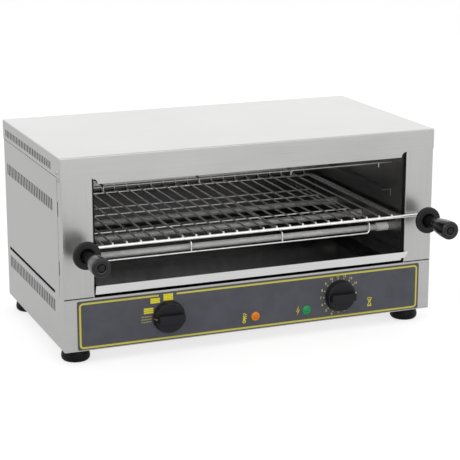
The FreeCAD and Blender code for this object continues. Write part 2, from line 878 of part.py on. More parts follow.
def lower_guard():
    """Front wire low before the tubes, turned up at its ends, and bars that rise and run back."""
    wire = size.guard_wire
    bend = size.guard_bend
    y_front = front + size.guard_front
    z_low = deck + size.lower_guard_rise
    z_high = z_low + size.lower_guard_step
    end = cavity_back - size.guard_wall_gap
    places = guard_bar_places(size.lower_guard_shift)
    corner = size.guard_corner
    parts = [rod("lower_guard_front", "X", (places[0] + corner, y_front, z_low),
                 places[-1] - places[0] - 2 * corner, wire)]
    for side, x, sign in (("left", places[0], -1), ("right", places[-1], 1)):
        parts.append(elbow(f"lower_guard_corner_{side}", (x - sign * corner, y_front, z_low + corner),
                           (0, 0, -1), (sign, 0, 0), corner, wire))
    for k, x in enumerate(places):
        start = z_low if 0 < k < len(places) - 1 else z_low + corner
        parts.append(rod(f"lower_guard_riser_{k}", "Z", (x, y_front, start), z_high - bend - start, wire))
        parts.append(elbow(f"lower_guard_bend_{k}", (x, y_front + bend, z_high - bend),
                           (0, 0, 1), (0, -1, 0), bend, wire))
        parts.append(rod(f"lower_guard_bar_{k}", "Y", (x, y_front + bend, z_high),
                         end - y_front - bend, wire))
    cross_level = z_high + 2 * wire - size.weld_sink
    depths = (size.lower_cross_first, size.lower_cross_second, size.lower_cross_third)
    for k, depth in enumerate(depths):
        parts.append(rod(f"lower_guard_cross_{k}", "X",
                         (places[0] - size.guard_overhang, front + depth, cross_level),
                         places[-1] - places[0] + 2 * size.guard_overhang, wire))
    keep(fuse("lower_guard", parts), "lower_guard")


def upper_guard():
    """Front wire from liner to liner, bars above it with their tips hooked over."""
    wire = size.guard_wire
    y_front = front + size.guard_front
    z_wire = roof - size.upper_tube_drop - size.upper_guard_drop
    z_bar = z_wire + 2 * wire - size.weld_sink
    end = cavity_back - size.guard_wall_gap
    reach = wall - size.guard_wall_gap
    bend = 2 * wire - size.weld_sink
    parts = []
    for k, depth in enumerate((size.guard_front, size.upper_cross_first, size.upper_cross_second)):
        parts.append(rod(f"upper_guard_cross_{k}", "X", (-reach, front + depth, z_wire), 2 * reach, wire))
    for k, x in enumerate(guard_bar_places(zero)):
        parts.append(rod(f"upper_guard_bar_{k}", "Y", (x, y_front, z_bar), end - y_front, wire))
        parts.append(elbow(f"upper_guard_hook_{k}", (x, y_front, z_wire), (0, 0, 1), (0, -1, 0), bend, wire))
        parts.append(rod(f"upper_guard_tip_{k}", "Z", (x, y_front - bend, z_wire - size.upper_hook),
                         size.upper_hook, wire))
    keep(fuse("upper_guard", parts), "upper_guard")


# Rack with its handles, one sliding body

def wire_rack():
    """Front bar with the handles' studs welded under its ends, bent rear bar and the wires across."""
    bar = size.rack_bar
    wire = size.rack_wire
    z = rack_level
    y_bar = front - size.rack_bar_reach
    y_rear = cavity_back - size.rack_rear_gap
    stud_end = grip_nut_face + size.grip_nut_cap + size.screw_fit
    side = wall - size.rack_side_gap
    bend = size.rack_bend
    reach = handle_x + bar
    parts = [rod("rack_front_bar", "X", (-reach, y_bar, z), 2 * reach, bar),
             rod("rack_rear_bar", "X", (-(side - bend), y_rear, z), 2 * (side - bend), bar)]
    for name, sign in SIDES:
        parts.append(rod(f"rack_stud_{name}", "Y", (sign * handle_x, stud_end, handle_level),
                         y_bar + bar - stud_end, bar))
        parts.append(rod(f"rack_side_bar_{name}", "Y", (sign * side, y_bar, z), y_rear - bend - y_bar, bar))
        parts.append(elbow(f"rack_corner_{name}", (sign * (side - bend), y_rear - bend, z),
                           (0, 1, 0), (sign, 0, 0), bend, bar))
    z_wire = z + bar + wire - size.weld_sink
    tip = size.rack_tip_bend
    y_turn = y_rear + bar - size.weld_sink + wire - tip
    first = size.rack_wire_margin - side
    pitch = -2 * first / (size.rack_wire_count - 1)
    for k in range(int(SIZES["rack_wire_count"])):
        x = first + k * pitch
        parts.append(rod(f"rack_wire_{k}", "Y", (x, y_bar, z_wire), y_turn - y_bar, wire))
        parts.append(elbow(f"rack_wire_bend_{k}", (x, y_turn, z_wire + tip),
                           (0, 1, 0), (0, 0, -1), tip, wire))
        parts.append(rod(f"rack_wire_tip_{k}", "Z", (x, y_turn + tip, z_wire + tip),
                         size.rack_tip_rise - tip, wire))
    keep(fuse("wire_rack", parts), "wire_rack")


def handles():
    """Heat shield disc, collar behind it, necked grip and the blind nut in the grip's end, each side."""
    bore = size.rack_bar + size.stud_fit
    shield_front = -size.shield_reach
    shield_back = shield_front + size.shield_thickness
    grip_start = shield_front + size.shield_recess_depth
    collars, nuts = [], []
    for side, sign in SIDES:
        x = sign * handle_x
        shield = Piece(f"{side}_handle_shield")
        shield.turn([(bore, shield_back), (size.shield_radius, shield_back),
                     (size.shield_radius, shield_front), (size.shield_recess_radius, shield_front),
                     (size.shield_recess_radius, grip_start), (bore, grip_start)], axis="Y")
        shield.round_off(size.shield_rounding, ring_at("Y", shield_front, size.shield_radius),
                         ring_at("Y", shield_back, size.shield_radius))
        place(shield.body, x, front, handle_level)
        grip = Piece(f"{side}_grip")
        grip.turn(grip_outline(bore, grip_start), axis="Y")
        grip.round_off(size.grip_rounding, ring_at("Y", -size.grip_reach, size.grip_end_radius))
        place(grip.body, x, front, handle_level)
        collar_back = front + shield_back
        collar = rod(f"collar_body_{side}", "Y", (x, collar_back, handle_level), size.collar_length,
                     size.collar_radius)
        collar_bore = rod(f"collar_bore_{side}", "Y", (x, collar_back - past, handle_level),
                          size.collar_length + 2 * past, bore)
        collars.append(cut(f"collar_{side}", collar, collar_bore))
        nut = prism(f"grip_nut_body_{side}", (x, grip_nut_face, handle_level), size.grip_nut_radius,
                    size.grip_nut_height, axis="Y")
        nut_bore = rod(f"grip_nut_bore_{side}", "Y", (x, grip_nut_face + size.grip_nut_cap, handle_level),
                       size.grip_nut_height, bore)
        nuts.append(cut(f"grip_nut_{side}", nut, nut_bore))
    group("shield_collars", collars)
    group("grip_nuts", nuts)


def grip_outline(bore, start):
    """Half profile of a grip: thin neck, a shoulder, then a flare that eases to the full end."""
    steps = 6
    end = -size.grip_reach
    recess_floor = end + size.grip_recess_depth
    neck_end = start - size.grip_neck_length
    flare_start = neck_end - size.grip_shoulder
    flare_end = end + size.grip_end_band
    outline = [(bore, start), (size.grip_neck_radius, start), (size.grip_neck_radius, neck_end)]
    for k in range(steps):
        share = k / (steps - 1)
        swell = math.sin(share * math.pi / 2)
        outline.append((size.grip_root_radius + swell * (size.grip_end_radius - size.grip_root_radius),
                        flare_start + share * (flare_end - flare_start)))
    outline += [(size.grip_end_radius, end), (size.grip_recess_radius, end),
                (size.grip_recess_radius, recess_floor), (bore, recess_floor)]
    return outline


# Crumb tray, a sliding body

def tray_flange_under():
    return deck + size.tray_rise + size.tray_height - size.tray_steel


def crumb_tray():
    """Shallow pan with flanges on the runners and a leaning lip whose right end passes the post."""
    tray = Piece("crumb_tray")
    thick = size.tray_steel
    low = deck + size.tray_rise
    high = low + size.tray_height
    y_front = front + size.tray_front
    y_rear = cavity_back - size.tray_rear_gap
    pan = tray_pan
    flange = tray_flange
    cheek_x = post_inner - size.tray_cheek_inset
    lip_start = size.tray_lip_gap - post_inner
    lip_end = post_inner + size.tray_lip_ear
    channel = [(-flange, high), (-flange, high - thick), (-pan, high - thick), (-pan, low), (pan, low),
               (pan, high - thick), (flange, high - thick), (flange, high), (pan - thick, high),
               (pan - thick, low + thick), (-pan + thick, low + thick), (-pan + thick, high)]
    tray.add("XZ", y_front, y_rear, channel)
    tray.add("XZ", y_rear - thick, y_rear, rectangle(-pan, pan, low, high))
    y_base = front - size.tray_front / 2
    y_top = y_base - size.tray_lip_lean
    lip_high = low + size.tray_lip_height
    lip_outline = [(y_front + thick, low), (y_base, low), (y_top, lip_high), (y_top + thick, lip_high),
                   (y_base + thick, low + thick), (y_front + thick, low + thick)]
    tray.add("YZ", lip_start, lip_end, lip_outline)
    tray.round_off(size.tray_lip_rounding, along(y=y_base, z=low))
    notch_top = low + size.tray_notch_height
    notch_x = post_inner - size.tray_notch_width
    tray.cut("XY", low - past, notch_top,
             rectangle(notch_x, lip_end + past, y_top - past, y_front + 2 * thick))
    tray.cut("XZ", y_top - past, front, [(lip_end, lip_high + past), (lip_end + past, lip_high + past),
                                         (lip_end + past, notch_top - past),
                                         (lip_end - size.tray_lip_slant, notch_top - past)])
    cheek = [(y_top + thick / 2, lip_high), (y_front + size.tray_cheek_reach, high - thick),
             (y_front, high - thick), (y_base + thick / 2, notch_top)]
    bridge = rectangle(y_front, y_front + size.tray_cheek_reach, high - thick, high)
    for sign in (-1, 1):
        tray.add("YZ", *in_order(sign * (cheek_x - thick), sign * cheek_x), cheek)
        tray.add("YZ", *in_order(sign * (flange - thick), sign * cheek_x), bridge)


# Control face

def control_overlay():
    overlay = Piece("control_overlay")
    edge = half - size.overlay_margin
    low = floor_plate + size.overlay_low
    high = deck - size.overlay_top_gap
    overlay.add("XZ", face, front, rectangle(-edge, edge, low, high))
    overlay.round_off(size.overlay_corner, along(x=-edge, z=low), along(x=-edge, z=high),
                      along(x=edge, z=low), along(x=edge, z=high))
    lamp_hole = size.lamp_body_radius + size.lamp_fit
    overlay.cut("XZ", face - past, front + past,
                (selector_x, floor_plate + size.selector_rise, size.shaft_hole_radius),
                (timer_x, floor_plate + size.timer_rise, size.shaft_hole_radius),
                (orange_lamp_x, floor_plate + size.lamp_rise, lamp_hole),
                (green_lamp_x, floor_plate + size.lamp_rise, lamp_hole))


def knob(label, x, z):
    """Round skirt and face, with a flat grip bar across it and the shaft's bore behind."""
    piece = Piece(label)
    base = -size.knob_face_gap
    shoulder = base - size.knob_skirt
    cone_end = base - size.knob_body
    grip_end = base - size.knob_reach
    piece.turn([(zero, base), (size.knob_radius, base), (size.knob_radius, shoulder),
                (size.knob_top_radius, cone_end), (zero, cone_end)], axis="Y")
    width = size.knob_grip_width / 2
    end = size.knob_grip_length / 2
    piece.add("XZ", grip_end, cone_end + past, rectangle(-end, end, -width, width))
    piece.round_off(size.knob_grip_corner, along(x=-end, z=-width), along(x=-end, z=width),
                    along(x=end, z=-width), along(x=end, z=width))
    piece.cut("XZ", base - size.knob_bore_depth, base + past, (zero, zero, size.shaft_radius + size.run_fit))
    place(piece.body, x, face, z)


def switch_unit(label, shaft_label, x, z, width, height, depth):
    """Box behind the front wall with a round bush through it, and the shaft that turns in the bush."""
    y_wall = front + size.steel
    x_span = (x - width / 2, x + width / 2)
    box = block(f"{label}_box", x_span, (y_wall, y_wall + depth), (z - height / 2, z + height / 2))
    bush = rod(f"{label}_bush", "Y", (x, face, z), y_wall - face + past, size.bush_radius)
    solid = fuse(f"{label}_solid", [box, bush])
    bore = rod(f"{label}_bore", "Y", (x, face - past, z), y_wall - face + past + size.shaft_depth,
               size.shaft_radius + size.run_fit)
    keep(cut(label, solid, bore), label)
    knob_floor = face - size.knob_face_gap - size.knob_bore_depth
    shaft_end = y_wall + size.shaft_depth - past
    keep(rod(shaft_label, "Y", (x, knob_floor + past, z), shaft_end - knob_floor - past, size.shaft_radius),
         shaft_label)


def lamps():
    """Indicator lamps: coloured cap with its flange and the barrel behind it through the front wall."""
    z = floor_plate + size.lamp_rise
    housings = []
    for label, x in (("orange_lamp_lens", orange_lamp_x), ("green_lamp_lens", green_lamp_x)):
        barrel = rod(f"{label}_barrel", "Y", (x, face, z), size.lamp_body_depth, size.lamp_body_radius)
        seat = rod(f"{label}_seat", "Y", (x, face - past, z), 1 + size.lamp_seat,
                   size.lamp_body_radius - size.lamp_rim)
        housings.append(cut(f"{label}_housing", barrel, seat))
        lens = Piece(label)
        plug = size.lamp_body_radius - size.lamp_rim - size.lamp_fit
        lens.turn([(zero, size.lamp_plug), (plug, size.lamp_plug), (plug, zero), (size.lamp_radius, zero),
                   (size.lamp_radius, -size.lamp_rim), (plug, -size.lamp_rim),
                   (plug, size.lamp_dome - size.lamp_reach), (plug - size.lamp_dome, -size.lamp_reach),
                   (zero, -size.lamp_reach)], axis="Y")
        place(lens.body, x, face, z)
    group("lamp_housings", housings)


# Mains inlet and terminals

def mains_inlet():
    x, z = gland_x, floor_plate + size.gland_rise
    wall_inner = back - size.steel
    collar = rod("gland_collar", "Y", (x, back, z), size.gland_reach, size.gland_radius)
    thread = rod("gland_thread", "Y", (x, back - size.gland_depth, z), size.gland_depth + past,
                 size.gland_thread_radius)
    bore = rod("gland_bore_cut", "Y", (x, back - size.gland_depth - past, z),
               size.gland_depth + size.gland_reach + 2 * past, size.gland_bore)
    keep(cut("cable_gland", fuse("gland_solid", [collar, thread]), bore), "cable_gland")
    nut = prism("gland_nut_body", (x, wall_inner - size.gland_nut_height, z), size.gland_nut_radius,
                size.gland_nut_height, axis="Y")
    nut_bore = rod("gland_nut_bore", "Y", (x, wall_inner - size.gland_nut_height - past, z),
                   size.gland_nut_height + 2 * past, size.gland_thread_radius + size.screw_fit)
    keep(cut("gland_nut", nut, nut_bore), "gland_nut")
    x_middle = terminal_x
    terminal = block("terminal_block",
                     (x_middle - size.terminal_width / 2, x_middle + size.terminal_width / 2),
                     (back - size.terminal_setback - size.terminal_depth, back - size.terminal_setback),
                     (floor_plate + size.steel, floor_plate + size.steel + size.terminal_height))
    keep(terminal, "terminal_block")


# Case screws

def screw(name, axis, sign, surface, other_two):
    """A pan-head screw: head proud of a surface, shank into it. The sign points out of the case."""
    def at(level):
        if axis == "X":
            return (level, *other_two)
        return (other_two[0], level, other_two[1])

    inward = surface - sign * size.screw_length
    head_low = surface if sign > 0 else surface - size.screw_head
    shank_low = inward if sign > 0 else surface - size.screw_head / 2
    head = rod(f"{name}_head", axis, at(head_low), size.screw_head, size.screw_head_radius)
    shank = rod(f"{name}_shank", axis, at(shank_low), size.screw_length + size.screw_head / 2,
                size.screw_radius)
    return fuse(name, [head, shank])


def screw_holes(label, plane, low, high, places):
    """Clearance holes for screws in a finished body."""
    holder = Piece.__new__(Piece)
    holder.body = next(item for item in nodes if item.Label == label)
    radius = size.screw_radius + size.screw_fit
    holder.cut(plane, low, high, *[(u, v, radius) for u, v in places])


def case_screws():
    """Each side: one screw through the lid's flange into the post's tab, and one in the post."""
    outer = half + size.steel
    y = front + size.case_screw_front
    z_cover = top - size.case_screw_drop
    z_post = top - size.post_screw_drop
    screws = []
    for side, sign in SIDES:
        screws.append(screw(f"cover_screw_{side}", "X", sign, sign * outer, (y, z_cover)))
        screws.append(screw(f"post_screw_{side}", "X", sign, sign * half, (y, z_post)))
        low, high = in_order(sign * (half - 2 * size.steel), sign * (half + past))
        screw_holes(f"{side}_post", "YZ", low, high, [(y, z_cover), (y, z_post)])
    group("case_screws", screws)
    screw_holes("top_cover", "YZ", -outer - past, outer + past, [(y, z_cover)])


def back_screws():
    """Screws through the lid's back flange and the back panel's foot."""
    z_high = top - size.back_screw_drop
    spacing = size.back_screw_spacing
    screws = []
    for k, x in enumerate((-spacing, zero, spacing)):
        screws.append(screw(f"back_screw_{k}", "Y", 1, back, (x, z_high)))
    group("back_screws", screws)
    places = [(x, z_high) for x in (-spacing, zero, spacing)]
    screw_holes("top_cover", "XZ", back - 2 * size.steel, back + past, places)
    screw_holes("back_panel", "XZ", back - 3 * size.steel, back, places)


base_shell()
base_plate()
feet()
foot_fasteners()
top_cover()
front_posts()
side_panels()
back_panel()
cavity_walls()
cavity_back_sheet()
upper_reflector()
rack_guides()
tray_runners()
heating_tubes()
lower_guard()
upper_guard()
wire_rack()
handles()
crumb_tray()
control_overlay()
selector_z = floor_plate + size.selector_rise
timer_z = floor_plate + size.timer_rise
knob("selector_knob", selector_x, selector_z)
knob("timer_knob", timer_x, timer_z)
switch_unit("selector_switch", "selector_shaft", selector_x, selector_z,
            size.switch_width, size.switch_height, size.switch_depth)
switch_unit("timer_unit", "timer_shaft", timer_x, timer_z,
            size.timer_width, size.timer_height, size.timer_depth)
lamps()
mains_inlet()
case_screws()
back_screws()


def check_and_write():
    """Every object must be sound, and every pocket must take material away, before anything is saved."""
    doc.recompute()
    for item in doc.Objects:
        if "Invalid" in item.State or "Error" in item.State:
            raise RuntimeError(f"{item.Label}: {item.State}")
        if item.TypeId == "PartDesign::Pocket" and item.BaseFeature is not None:
            if item.Shape.Volume > item.BaseFeature.Shape.Volume - 1e-6:
                raise RuntimeError(f"{item.Label} of {item.getParentGeoFeatureGroup().Label} cuts nothing")
    os.makedirs("parts", exist_ok=True)
    for item in nodes:
        shape = item.Shape
        if shape.isNull() or not shape.isValid():
            raise RuntimeError(f"{item.Label}: bad shape")
        shape.exportStep(f"parts/{item.Label}.step")
        bound = shape.BoundBox
        print(f"{item.Label:22s} solids {len(shape.Solids):2d}  volume {shape.Volume:12.1f}  "
              f"x {bound.XMin:7.1f} {bound.XMax:7.1f}  y {bound.YMin:7.1f} {bound.YMax:7.1f}  "
              f"z {bound.ZMin:6.1f} {bound.ZMax:6.1f}")


check_and_write()
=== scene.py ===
import math

import bmesh
import bpy
from bpy.props import FloatProperty, FloatVectorProperty, IntProperty, PointerProperty
from bpy.types import Operator, Panel, PropertyGroup
from mathutils import Matrix, Vector


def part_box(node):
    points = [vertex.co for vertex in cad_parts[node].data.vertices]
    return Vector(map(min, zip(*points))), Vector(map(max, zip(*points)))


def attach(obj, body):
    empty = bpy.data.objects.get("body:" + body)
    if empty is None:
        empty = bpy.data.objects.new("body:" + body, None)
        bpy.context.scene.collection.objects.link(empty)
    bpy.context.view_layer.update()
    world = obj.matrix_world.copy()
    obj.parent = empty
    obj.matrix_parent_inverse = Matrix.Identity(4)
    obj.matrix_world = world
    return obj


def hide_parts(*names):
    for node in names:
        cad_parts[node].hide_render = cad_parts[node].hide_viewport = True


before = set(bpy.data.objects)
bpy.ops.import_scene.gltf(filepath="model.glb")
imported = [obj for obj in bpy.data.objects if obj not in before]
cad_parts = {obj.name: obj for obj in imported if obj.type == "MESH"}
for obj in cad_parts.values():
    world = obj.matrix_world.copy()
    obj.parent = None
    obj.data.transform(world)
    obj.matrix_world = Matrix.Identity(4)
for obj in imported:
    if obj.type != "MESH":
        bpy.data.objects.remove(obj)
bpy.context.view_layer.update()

bl_info = {
    "name": "Toaster Grill Dressing",
    "version": (1, 0, 0),
    "blender": (4, 5, 0),
    "location": "View3D > Sidebar > Toaster Grill",
    "description": "Brushed sheet, printed control face, knobs, grips, heating coils and the studio round them",
    "category": "Object",
}

MM = 0.001
QUARTER = math.pi / 2
SIGN_BAR = 2.5
HEAD_EDGE = 3.8 * MM


def middle(node):
    """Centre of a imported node's box, in millimetres."""
    low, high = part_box(node)
    return (low + high) / 2 / MM


def end_of(node, end, axis=1):
    """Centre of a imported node's near (0) or far (1) end along an axis, and its extent, in millimetres."""
    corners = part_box(node)
    centre = middle(node)
    centre[axis] = corners[end][axis] / MM
    return centre, (corners[1] - corners[0]) / MM


def both(name):
    """The left and the right node of a pair."""
    return f"left_{name}", f"right_{name}"


def linked(name, data):
    """An object in the scene that carries the data."""
    made = bpy.data.objects.new(name, data)
    bpy.context.scene.collection.objects.link(made)
    return made


# Sizes and colours a user may change

def colour(name, description, default):
    return FloatVectorProperty(name=name, description=description, subtype="COLOR", default=default,
                               min=0, max=1)


def share(name, description, default):
    return FloatProperty(name=name, description=description, subtype="FACTOR", default=default, min=0, max=1)


def length(name, description, millimetres, low=0.0):
    return FloatProperty(name=name, description=description, subtype="DISTANCE", unit="LENGTH",
                         default=millimetres * MM, min=low * MM)


def angle(name, description, degrees):
    return FloatProperty(name=name, description=description, subtype="ANGLE", unit="ROTATION",
                         default=math.radians(degrees))


def watts(name, description, default):
    return FloatProperty(name=name, description=description, unit="POWER", default=default, min=0)


class SheetSettings(PropertyGroup):
    """Steel sheets outside and inside."""
    case_colour: colour("Case Colour", "Reflected colour of the brushed case", (0.54, 0.54, 0.535))
    case_roughness: share("Case Roughness", "Mean roughness of the brushed case", 0.33)
    grain: FloatProperty(name="Grain", description="Brush lines in a metre across the grain",
                         default=1400.0, min=50)
    liner_colour: colour("Liner Colour", "Reflected colour of the cavity walls", (0.33, 0.33, 0.33))
    liner_roughness: share("Liner Roughness", "Mean roughness of the cavity walls", 0.34)
    tray_colour: colour("Tray Colour", "Reflected colour of the crumb tray", (0.86, 0.86, 0.86))
    # The pan's share is painted shade and reflection: darkening that stands in for the dark cavity the pan
    # mirrors.
    pan_share: share("Pan Painted Shade", "Share of the tray's colour left in its pan", 0.12)
    wire_colour: colour("Wire Colour", "Reflected colour of rack and lower guard", (0.88, 0.87, 0.85))
    roof_wire_colour: colour("Upper Guard Colour", "Reflected colour of the guard under the hot roof",
                             (0.42, 0.41, 0.40))
    bead_radius: length("Weld Bead", "Radius of a weld bead on the wires", 2.1)


class PrintSettings(PropertyGroup):
    """Film on the control face and what is printed on it."""
    film_colour: colour("Film Colour", "Colour of the control film", (0.076, 0.078, 0.098))
    ink_colour: colour("Ink Colour", "Colour of the printed marks", (1.0, 0.86, 0.02))
    line_colour: colour("Border Colour", "Colour of the printed border", (0.70, 0.65, 0.15))
    line_width: length("Border Width", "Width of the printed border", 2.9)
    edge_colour: colour("Border Shade", "Colour of the dull band under the border", (0.115, 0.105, 0.030))
    edge_width: length("Border Shade Width", "Width of the dull band under the border", 5.6)
    line_corner: length("Border Corner", "Corner radius of the printed border", 5.0)
    ink_height: length("Ink Height", "How far the ink stands off the film", 0.06)
    dial_radius: length("Dial Radius", "Radius of the ring of timer dots", 29.0)
    dot_radius: length("Dot Radius", "Radius of a timer dot", 1.05)
    dot_count: IntProperty(name="Dots", description="Number of minute dots round the timer", default=14, min=1)
    dot_first: angle("First Dot", "Clockwise angle from three o'clock to the first dot", 51.0)
    dot_step: angle("Dot Step", "Clockwise angle from one minute dot to the next", 21.25)
    digit_height: length("Digit Height", "Height of the timer's numbers", 4.0)


class ControlSettings(PropertyGroup):
    """Knobs and indicator lamps."""
    knob_colour: colour("Knob Colour", "Colour of the knobs", (0.008, 0.008, 0.012))
    knob_rounding: length("Knob Rounding", "Rounding of the knob's edges", 1.2)
    orange_colour: colour("Orange Lamp", "Colour of the orange lens", (1.0, 0.28, 0.0))
    green_colour: colour("Green Lamp", "Colour of the green lens", (0.005, 0.40, 0.10))


class HandleSettings(PropertyGroup):
    """Grips and heat shields of the rack."""
    plastic_colour: colour("Grip Colour", "Colour of the grips", (0.008, 0.008, 0.009))
    plastic_roughness: share("Grip Roughness", "Roughness of the grips", 0.20)
    shield_colour: colour("Shield Colour", "Colour of the heat shields", (0.010, 0.010, 0.0105))
    shield_roughness: share("Shield Roughness", "Roughness of the heat shields", 0.55)
    edge_rounding: length("Grip Rounding", "Rounding at the open end of a grip", 1.8)


class HeaterSettings(PropertyGroup):
    """Quartz tubes and the wound wire in them."""
    coil_pitch: length("Coil Pitch", "Distance from one turn to the next", 2.9, 0.1)
    coil_wire: length("Coil Wire", "Radius of the wound wire", 0.45)
    quartz_colour: colour("Quartz Colour", "Colour of the milky quartz", (0.78, 0.78, 0.77))


class FastenerSettings(PropertyGroup):
    """Screws in the case."""
    head_radius: length("Head Radius", "Radius of a screw head", 3.8)
    head_height: length("Head Height", "Height of a screw head", 1.8)
    recess: length("Recess", "Length of the cross recess", 4.2)


class StageSettings(PropertyGroup):
    """Camera, floor and lamps."""
    azimuth: angle("Azimuth", "Camera's angle round the object from the front", -21.93984)
    elevation: angle("Elevation", "Camera's angle above the horizon", 14.62590)
    distance: length("Distance", "Camera's distance from its target", 2652.934, 100.0)
    target: FloatVectorProperty(name="Target", description="Point the camera looks at",
                                subtype="XYZ", unit="LENGTH", default=(16.749 * MM, 27.5 * MM, 153.266 * MM))
    lens: FloatProperty(name="Lens", description="Focal length for a 36 mm wide square frame, in millimetres",
                        subtype="DISTANCE_CAMERA", default=1563.07 / 460 * 36, min=1)
    floor_colour: colour("Floor Colour", "Colour of the floor", (0.50, 0.50, 0.50))
    floor_width: length("Floor Width", "Width of the floor", 40000.0, 1000.0)
    key_power: watts("Key Lamp", "Power of the lamp at the upper left, in watts", 19.0)
    back_power: watts("Back Lamp", "Power of the lamp the top reflects, in watts", 6.0)
    side_power: watts("Side Lamp", "Power of the lamp at the right, in watts", 8.0)
    front_power: watts("Front Lamp", "Power of the lamp beside the camera, in watts", 14.0)
    room_level: share("Room Level", "Brightness of the room on matt surfaces", 0.62)


class GrillSettings(PropertyGroup):
    """All settings of the toaster grill."""
    sheet: PointerProperty(type=SheetSettings, name="Sheets", description="Steel sheets and wires")
    print: PointerProperty(type=PrintSettings, name="Print", description="Control film and its print")
    control: PointerProperty(type=ControlSettings, name="Controls", description="Knobs and lamps")
    handle: PointerProperty(type=HandleSettings, name="Handles", description="Grips and shields")
    heater: PointerProperty(type=HeaterSettings, name="Heaters", description="Tubes and coils")
    fastener: PointerProperty(type=FastenerSettings, name="Fasteners", description="Screws")
    stage: PointerProperty(type=StageSettings, name="Stage", description="Camera, floor and lamps")


# Node trees

class Tree:
    """A node tree, and how its nodes are made and fed."""

    def __init__(self, tree):
        self.tree = tree

    def node(self, kind, settings=None, **sockets):
        """A node. A socket takes a value, another socket, a node's first output or a list of those."""
        made = self.tree.nodes.new(kind)
        for key, value in (settings or {}).items():
            setattr(made, key, value)
        for key, value in sockets.items():
            self.feed(made.inputs[key.replace("_", " ")], value)
        return made

    def feed(self, socket, value):
        for source in value if isinstance(value, list) else [value]:
            if isinstance(source, bpy.types.Node):
                source = source.outputs[0]
            if isinstance(source, bpy.types.NodeSocket):
                self.tree.links.new(source, socket)
            else:
                socket.default_value = source

    def fed(self, kind, settings, first, *values):
        """A node whose sockets, from the first on, have no names of their own."""
        made = self.node(kind, settings)
        for k, value in enumerate(values, first):
            self.feed(made.inputs[k], value)
        return made

    def maths(self, operation, *values):
        return self.fed("ShaderNodeMath", {"operation": operation}, 0, *values)


# Finishes

class Finish(Tree):
    """A material: one Principled shader and the nodes that vary it."""

    def __init__(self, name, colour, roughness, metallic=0.0, **constants):
        self.material = bpy.data.materials.new(name)
        self.material.use_nodes = True
        super().__init__(self.material.node_tree)
        self.colour = tuple(colour)
        self.roughness = roughness
        self.paint(Base_Color=(*self.colour, 1.0), Roughness=roughness, Metallic=metallic, **constants)
        self.coordinates = self.node("ShaderNodeTexCoord")

    def paint(self, **sockets):
        for name, value in sockets.items():
            self.feed(self.tree.nodes["Principled BSDF"].inputs[name.replace("_", " ")], value)

    def noise(self, scale, stretch=(1, 1, 1), detail=3.0, shift=(0, 0, 0)):
        """Noise on the object's own coordinates, scaled along each axis."""
        mapping = self.node("ShaderNodeMapping", Vector=self.coordinates.outputs["Object"], Scale=stretch,
                            Location=shift)
        return self.node("ShaderNodeTexNoise", Vector=mapping, Scale=scale, Detail=detail)

    def spread(self, factor, low, high, start=0.3, end=0.7):
        """The factor, moved from start..end to low..high."""
        return self.node("ShaderNodeMapRange", Value=factor, From_Min=start, From_Max=end, To_Min=low,
                         To_Max=high)

    def mean(self, first, second, weight):
        """Weighted mean of two factors."""
        return self.maths("ADD", self.maths("MULTIPLY", first, weight),
                          self.maths("MULTIPLY", second, 1 - weight))

    def tint(self, factor, *stops):
        """Base colour from a factor: stops are (position, lighter or darker share or colour)."""
        ramp = self.node("ShaderNodeValToRGB", Fac=factor)
        elements = ramp.color_ramp.elements
        while len(elements) < len(stops):
            elements.new(0.5)
        for element, (position, shade) in zip(elements, stops):
            colour = shade if isinstance(shade, tuple) else tuple(min(1.0, c * shade) for c in self.colour)
            element.position = position
            element.color = (*colour, 1.0)
        self.paint(Base_Color=ramp)

    def vary_roughness(self, factor, amount):
        self.paint(Roughness=self.spread(factor, self.roughness - amount, self.roughness + amount))

    def bump(self, factor, depth):
        self.paint(Normal=self.node("ShaderNodeBump", Strength=1.0, Distance=depth, Height=factor))

    def within(self, low, high):
        """One between two corners of a box, nothing outside it."""
        split = self.node("ShaderNodeSeparateXYZ", Vector=self.coordinates.outputs["Object"])
        factor = 1.0
        for axis, start, end in zip("XYZ", low, high):
            for test, limit in (("GREATER_THAN", start), ("LESS_THAN", end)):
                factor = self.maths("MULTIPLY", factor, self.maths(test, split.outputs[axis], limit))
        return factor

    def soil(self, low, high, share):
        """Painted shade: leave only a share of the colour between two corners of a box."""
        unshaded = self.tree.nodes["Principled BSDF"].inputs["Base Color"].links[0].from_socket
        left = self.maths("MULTIPLY_ADD", self.within(low, high), share - 1.0, 1.0)
        self.paint(Base_Color=self.node("ShaderNodeVectorMath", {"operation": "SCALE"}, Vector=unshaded,
                                        Scale=left))

    def share_facing_up(self):
        """One on faces that lie flat, nothing on upright ones."""
        split = self.node("ShaderNodeSeparateXYZ", Vector=self.coordinates.outputs["Normal"])
        return self.maths("GREATER_THAN", self.maths("ABSOLUTE", split.outputs["Z"]), 0.7)


def brushed(name, colour, roughness, grain, upright=False, painted_shade=None):
    """Brushed sheet. The lines run level on every side and along the width on flat faces.
    Painted shade is a low and a high corner and the share of colour left between them."""
    finish = Finish(name, colour, roughness, 1.0)
    slow = 12.0 / grain

    def lines(step, shift):
        if upright:
            return finish.noise(step, (1, 1, slow), shift=shift)
        walls = finish.noise(step, (slow, slow, 1), shift=shift)
        flats = finish.noise(step, (slow, 1, slow), shift=shift)
        mixed = finish.fed("ShaderNodeMix", {"data_type": "FLOAT"}, 2, walls, flats)
        finish.feed(mixed.inputs[0], finish.share_facing_up())
        return mixed

    fine = lines(grain, (0, 0, 0))
    broad = lines(grain / 5, (3, 5, 7))
    both = finish.mean(fine, broad, 0.75)
    handled = finish.noise(6.0)
    finish.tint(finish.mean(both, handled, 0.6), (0.32, 0.93), (0.5, 1.0), (0.68, 1.05))
    finish.paint(Roughness=finish.maths("ADD", finish.spread(both, roughness - 0.05, roughness + 0.05),
                                        finish.spread(handled, -0.025, 0.025)))
    finish.bump(both, 0.00003)
    # Painted shade inside the given box.
    if painted_shade:
        finish.soil(*painted_shade)
    return finish.material


